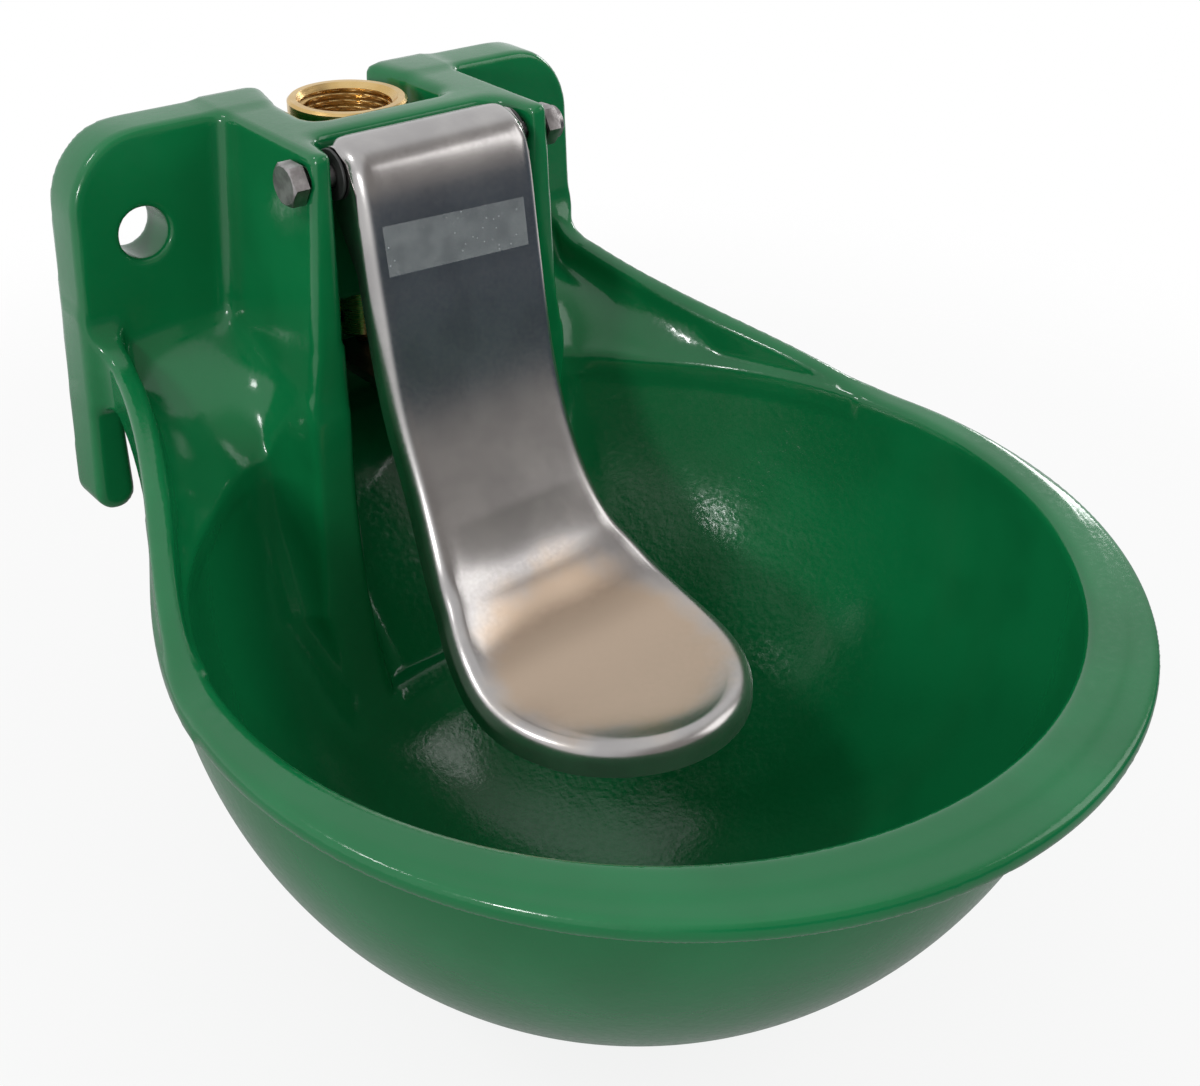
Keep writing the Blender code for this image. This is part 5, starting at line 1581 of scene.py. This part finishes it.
@dataclass
class Studio:
    """Camera, floor, world and lamps."""

    eye: Triple = (-0.223738, -0.379975, 0.212150)
    right: Triple = (0.75889833, -0.65079499, 0.0232209)
    down: Triple = (-0.33700483, -0.42299685, -0.84113103)
    ahead: Triple = (0.55722623, 0.63050738, -0.54033266)
    focal_pixels: float = 1549.88
    frame_width: int = 1200
    floor: float = -0.1228
    floor_middle: float = -0.13
    floor_radius: float = 0.62
    floor_fade: Pair = (0.36, 0.60)
    floor_glow: float = 0.84
    floor_shine: float = 0.22
    front: Triple = (0.50, -0.86, 0.0)
    even_light: float = 0.60
    lamps: tuple[Lamp, ...] = (
        Lamp("left_lamp", (-0.82, -0.51, 0.29), 0.13, 2.0),
        Lamp("upper_left_lamp", (-0.66, 0.09, 0.80), 0.15, 1.2),
        Lamp("rear_right_lamp", (0.90, 0.20, 0.26), 0.16, 0.8),
        Lamp("right_lamp", (0.80, -0.60, 0.55), 0.60, 2.0),
    )

    def camera(self) -> None:
        """Stand the camera where the photograph was taken from."""
        data = bpy.data.cameras.new("camera")
        made = bpy.data.objects.new("camera", data)
        bpy.context.scene.collection.objects.link(made)
        columns = [Vector(self.right), -Vector(self.down), -Vector(self.ahead)]
        turn = Matrix(columns).transposed().to_4x4()
        made.matrix_world = Matrix.Translation(Vector(self.eye)) @ turn
        data.sensor_width = 36.0
        data.lens = self.focal_pixels / self.frame_width * data.sensor_width
        data.clip_start = 0.01
        bpy.context.scene.camera = made

    def ground(self) -> None:
        """Lay a round pale floor that keeps a soft shadow and fades into the white behind it.

        Formula: rings of growing radius about the middle; the paint glows most to the camera,
        a little to shiny faces, and is clear at the edge and from below.
        """
        turn = np.linspace(0, 2 * np.pi, 96, endpoint=False)
        radius = np.linspace(0.0, self.floor_radius, 12)[:, None]
        across, along = radius * np.cos(turn), self.floor_middle + radius * np.sin(turn)
        points = np.stack([across, along, self.floor + 0 * radius * turn], axis=-1)
        piece = make_piece("floor", points, grid_faces(12, 96, wrap_columns=True))
        if piece.data.polygons[0].normal.z < 0:
            piece.data.flip_normals()
        made = bpy.data.materials.new("pale_floor")
        made.use_nodes = True
        tree = made.node_tree
        tree.nodes.clear()
        path = add(tree, "ShaderNodeLightPath")
        seen = self.seen(tree, path)
        gloss = {0: path.outputs["Is Glossy Ray"], 1: self.floor_shine}
        shiny = add(tree, "ShaderNodeMath", gloss, operation="MULTIPLY")
        both = {0: seen, 1: self.floor_glow, 2: shiny.outputs[0]}
        share = add(tree, "ShaderNodeMath", both, operation="MULTIPLY_ADD")
        paint = Finish.mix(tree, seen, linear("#8E908F"), linear("#F4F4F4"))
        matt = add(tree, "ShaderNodeBsdfDiffuse", {"Color": paint})
        glow = add(tree, "ShaderNodeEmission", {"Color": linear("#FFFFFF"), "Strength": 1.0})
        lit = {0: share.outputs[0], 1: matt.outputs[0], 2: glow.outputs[0]}
        face = add(tree, "ShaderNodeMixShader", lit)
        clear = add(tree, "ShaderNodeBsdfTransparent")
        away = add(tree, "ShaderNodeNewGeometry")
        where = add(tree, "ShaderNodeTexCoord")
        middle = {0: where.outputs["Object"], 1: (0.0, self.floor_middle, self.floor)}
        distance = add(tree, "ShaderNodeVectorMath", middle, operation="DISTANCE")
        fade = Finish.ramp(tree, distance.outputs["Value"], *self.floor_fade, 0.0, 1.0)
        gone = add(tree, "ShaderNodeMath", {0: fade, 1: away.outputs["Backfacing"]}, operation="MAXIMUM")
        mixed = {0: gone.outputs[0], 1: face.outputs[0], 2: clear.outputs[0]}
        ends = add(tree, "ShaderNodeMixShader", mixed)
        add(tree, "ShaderNodeOutputMaterial", {0: ends.outputs[0]})
        piece.data.materials.append(made)

    @staticmethod
    def seen(tree: bpy.types.NodeTree, path: bpy.types.Node) -> bpy.types.NodeSocket:
        """Give 1 to the rays that the camera sees, straight or through a clear piece."""
        rays = {0: path.outputs["Is Camera Ray"], 1: path.outputs["Is Transmission Ray"]}
        return add(tree, "ShaderNodeMath", rays, operation="MAXIMUM").outputs[0]

    def world(self) -> None:
        """Make the world: plain white to the camera, even on matt surfaces, and to shiny ones a
        bright room that is dim low down in front, where the real steel shows a grey band."""
        world = bpy.data.worlds.new("studio")
        bpy.context.scene.world = world
        world.use_nodes = True
        tree = world.node_tree
        tree.nodes.clear()
        path = add(tree, "ShaderNodeLightPath")
        ray = add(tree, "ShaderNodeTexCoord").outputs["Generated"]
        height = add(tree, "ShaderNodeSeparateXYZ", {0: ray}).outputs["Z"]
        facing = add(tree, "ShaderNodeVectorMath", {0: ray, 1: self.front}, operation="DOT_PRODUCT")
        front = Finish.ramp(tree, facing.outputs["Value"], 0.10, 0.60, 0.0, 1.0)
        low = Finish.ramp(tree, height, 0.02, 0.16, 0.0, 1.0)
        high = Finish.ramp(tree, height, 0.84, 0.97, 0.0, 1.0)
        wall = Finish.mix(tree, low, linear("#434E5A"), linear("#9C9896"))
        wall = Finish.mix(tree, high, wall, linear("#F3F1EE"))
        room = Finish.mix(tree, front, linear("#F0F1F2"), wall)
        shiny = add(tree, "ShaderNodeBackground", {"Color": room, "Strength": 1.0})
        pale = {"Color": linear("#FFFFFF"), "Strength": self.even_light}
        even = add(tree, "ShaderNodeBackground", pale)
        white = add(tree, "ShaderNodeBackground", {"Color": linear("#FFFFFF"), "Strength": 1.0})
        lit = {0: path.outputs["Is Glossy Ray"], 1: even.outputs[0], 2: shiny.outputs[0]}
        first = add(tree, "ShaderNodeMixShader", lit)
        ends = {0: self.seen(tree, path), 1: first.outputs[0], 2: white.outputs[0]}
        last = add(tree, "ShaderNodeMixShader", ends)
        add(tree, "ShaderNodeOutputWorld", {0: last.outputs[0]})

    def hang(self, lamp: Lamp) -> None:
        """Hang a lamp so that it faces the bowl."""
        data = bpy.data.lights.new(lamp.name, "AREA")
        data.size = lamp.side
        data.energy = lamp.power
        made = bpy.data.objects.new(lamp.name, data)
        bpy.context.scene.collection.objects.link(made)
        made.location = lamp.place
        made.rotation_mode = "QUATERNION"
        aim = Vector((0, -0.12, 0)) - Vector(lamp.place)
        made.rotation_quaternion = aim.to_track_quat("-Z", "Y")

    def build(self) -> None:
        """Set up the studio."""
        self.camera()
        self.ground()
        self.world()
        for lamp in self.lamps:
            self.hang(lamp)
        bpy.context.scene.view_settings.view_transform = "Standard"


def main() -> None:
    """Load the CAD and build everything around it."""
    logging.basicConfig(level=logging.INFO, format="%(name)s: %(message)s")
    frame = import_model()
    Studio().build()
    Casting().build()
    Tongue().build()
    Pivot().build()
    Valve().build()
    for node, finish in CAD_FINISHES.items():
        piece = frame["nodes"][node]
        piece.data.materials.clear()
        piece.data.materials.append(finish.build())
        log.info("%s: %s", node, finish.name)


if __name__ == "__main__":
    main()
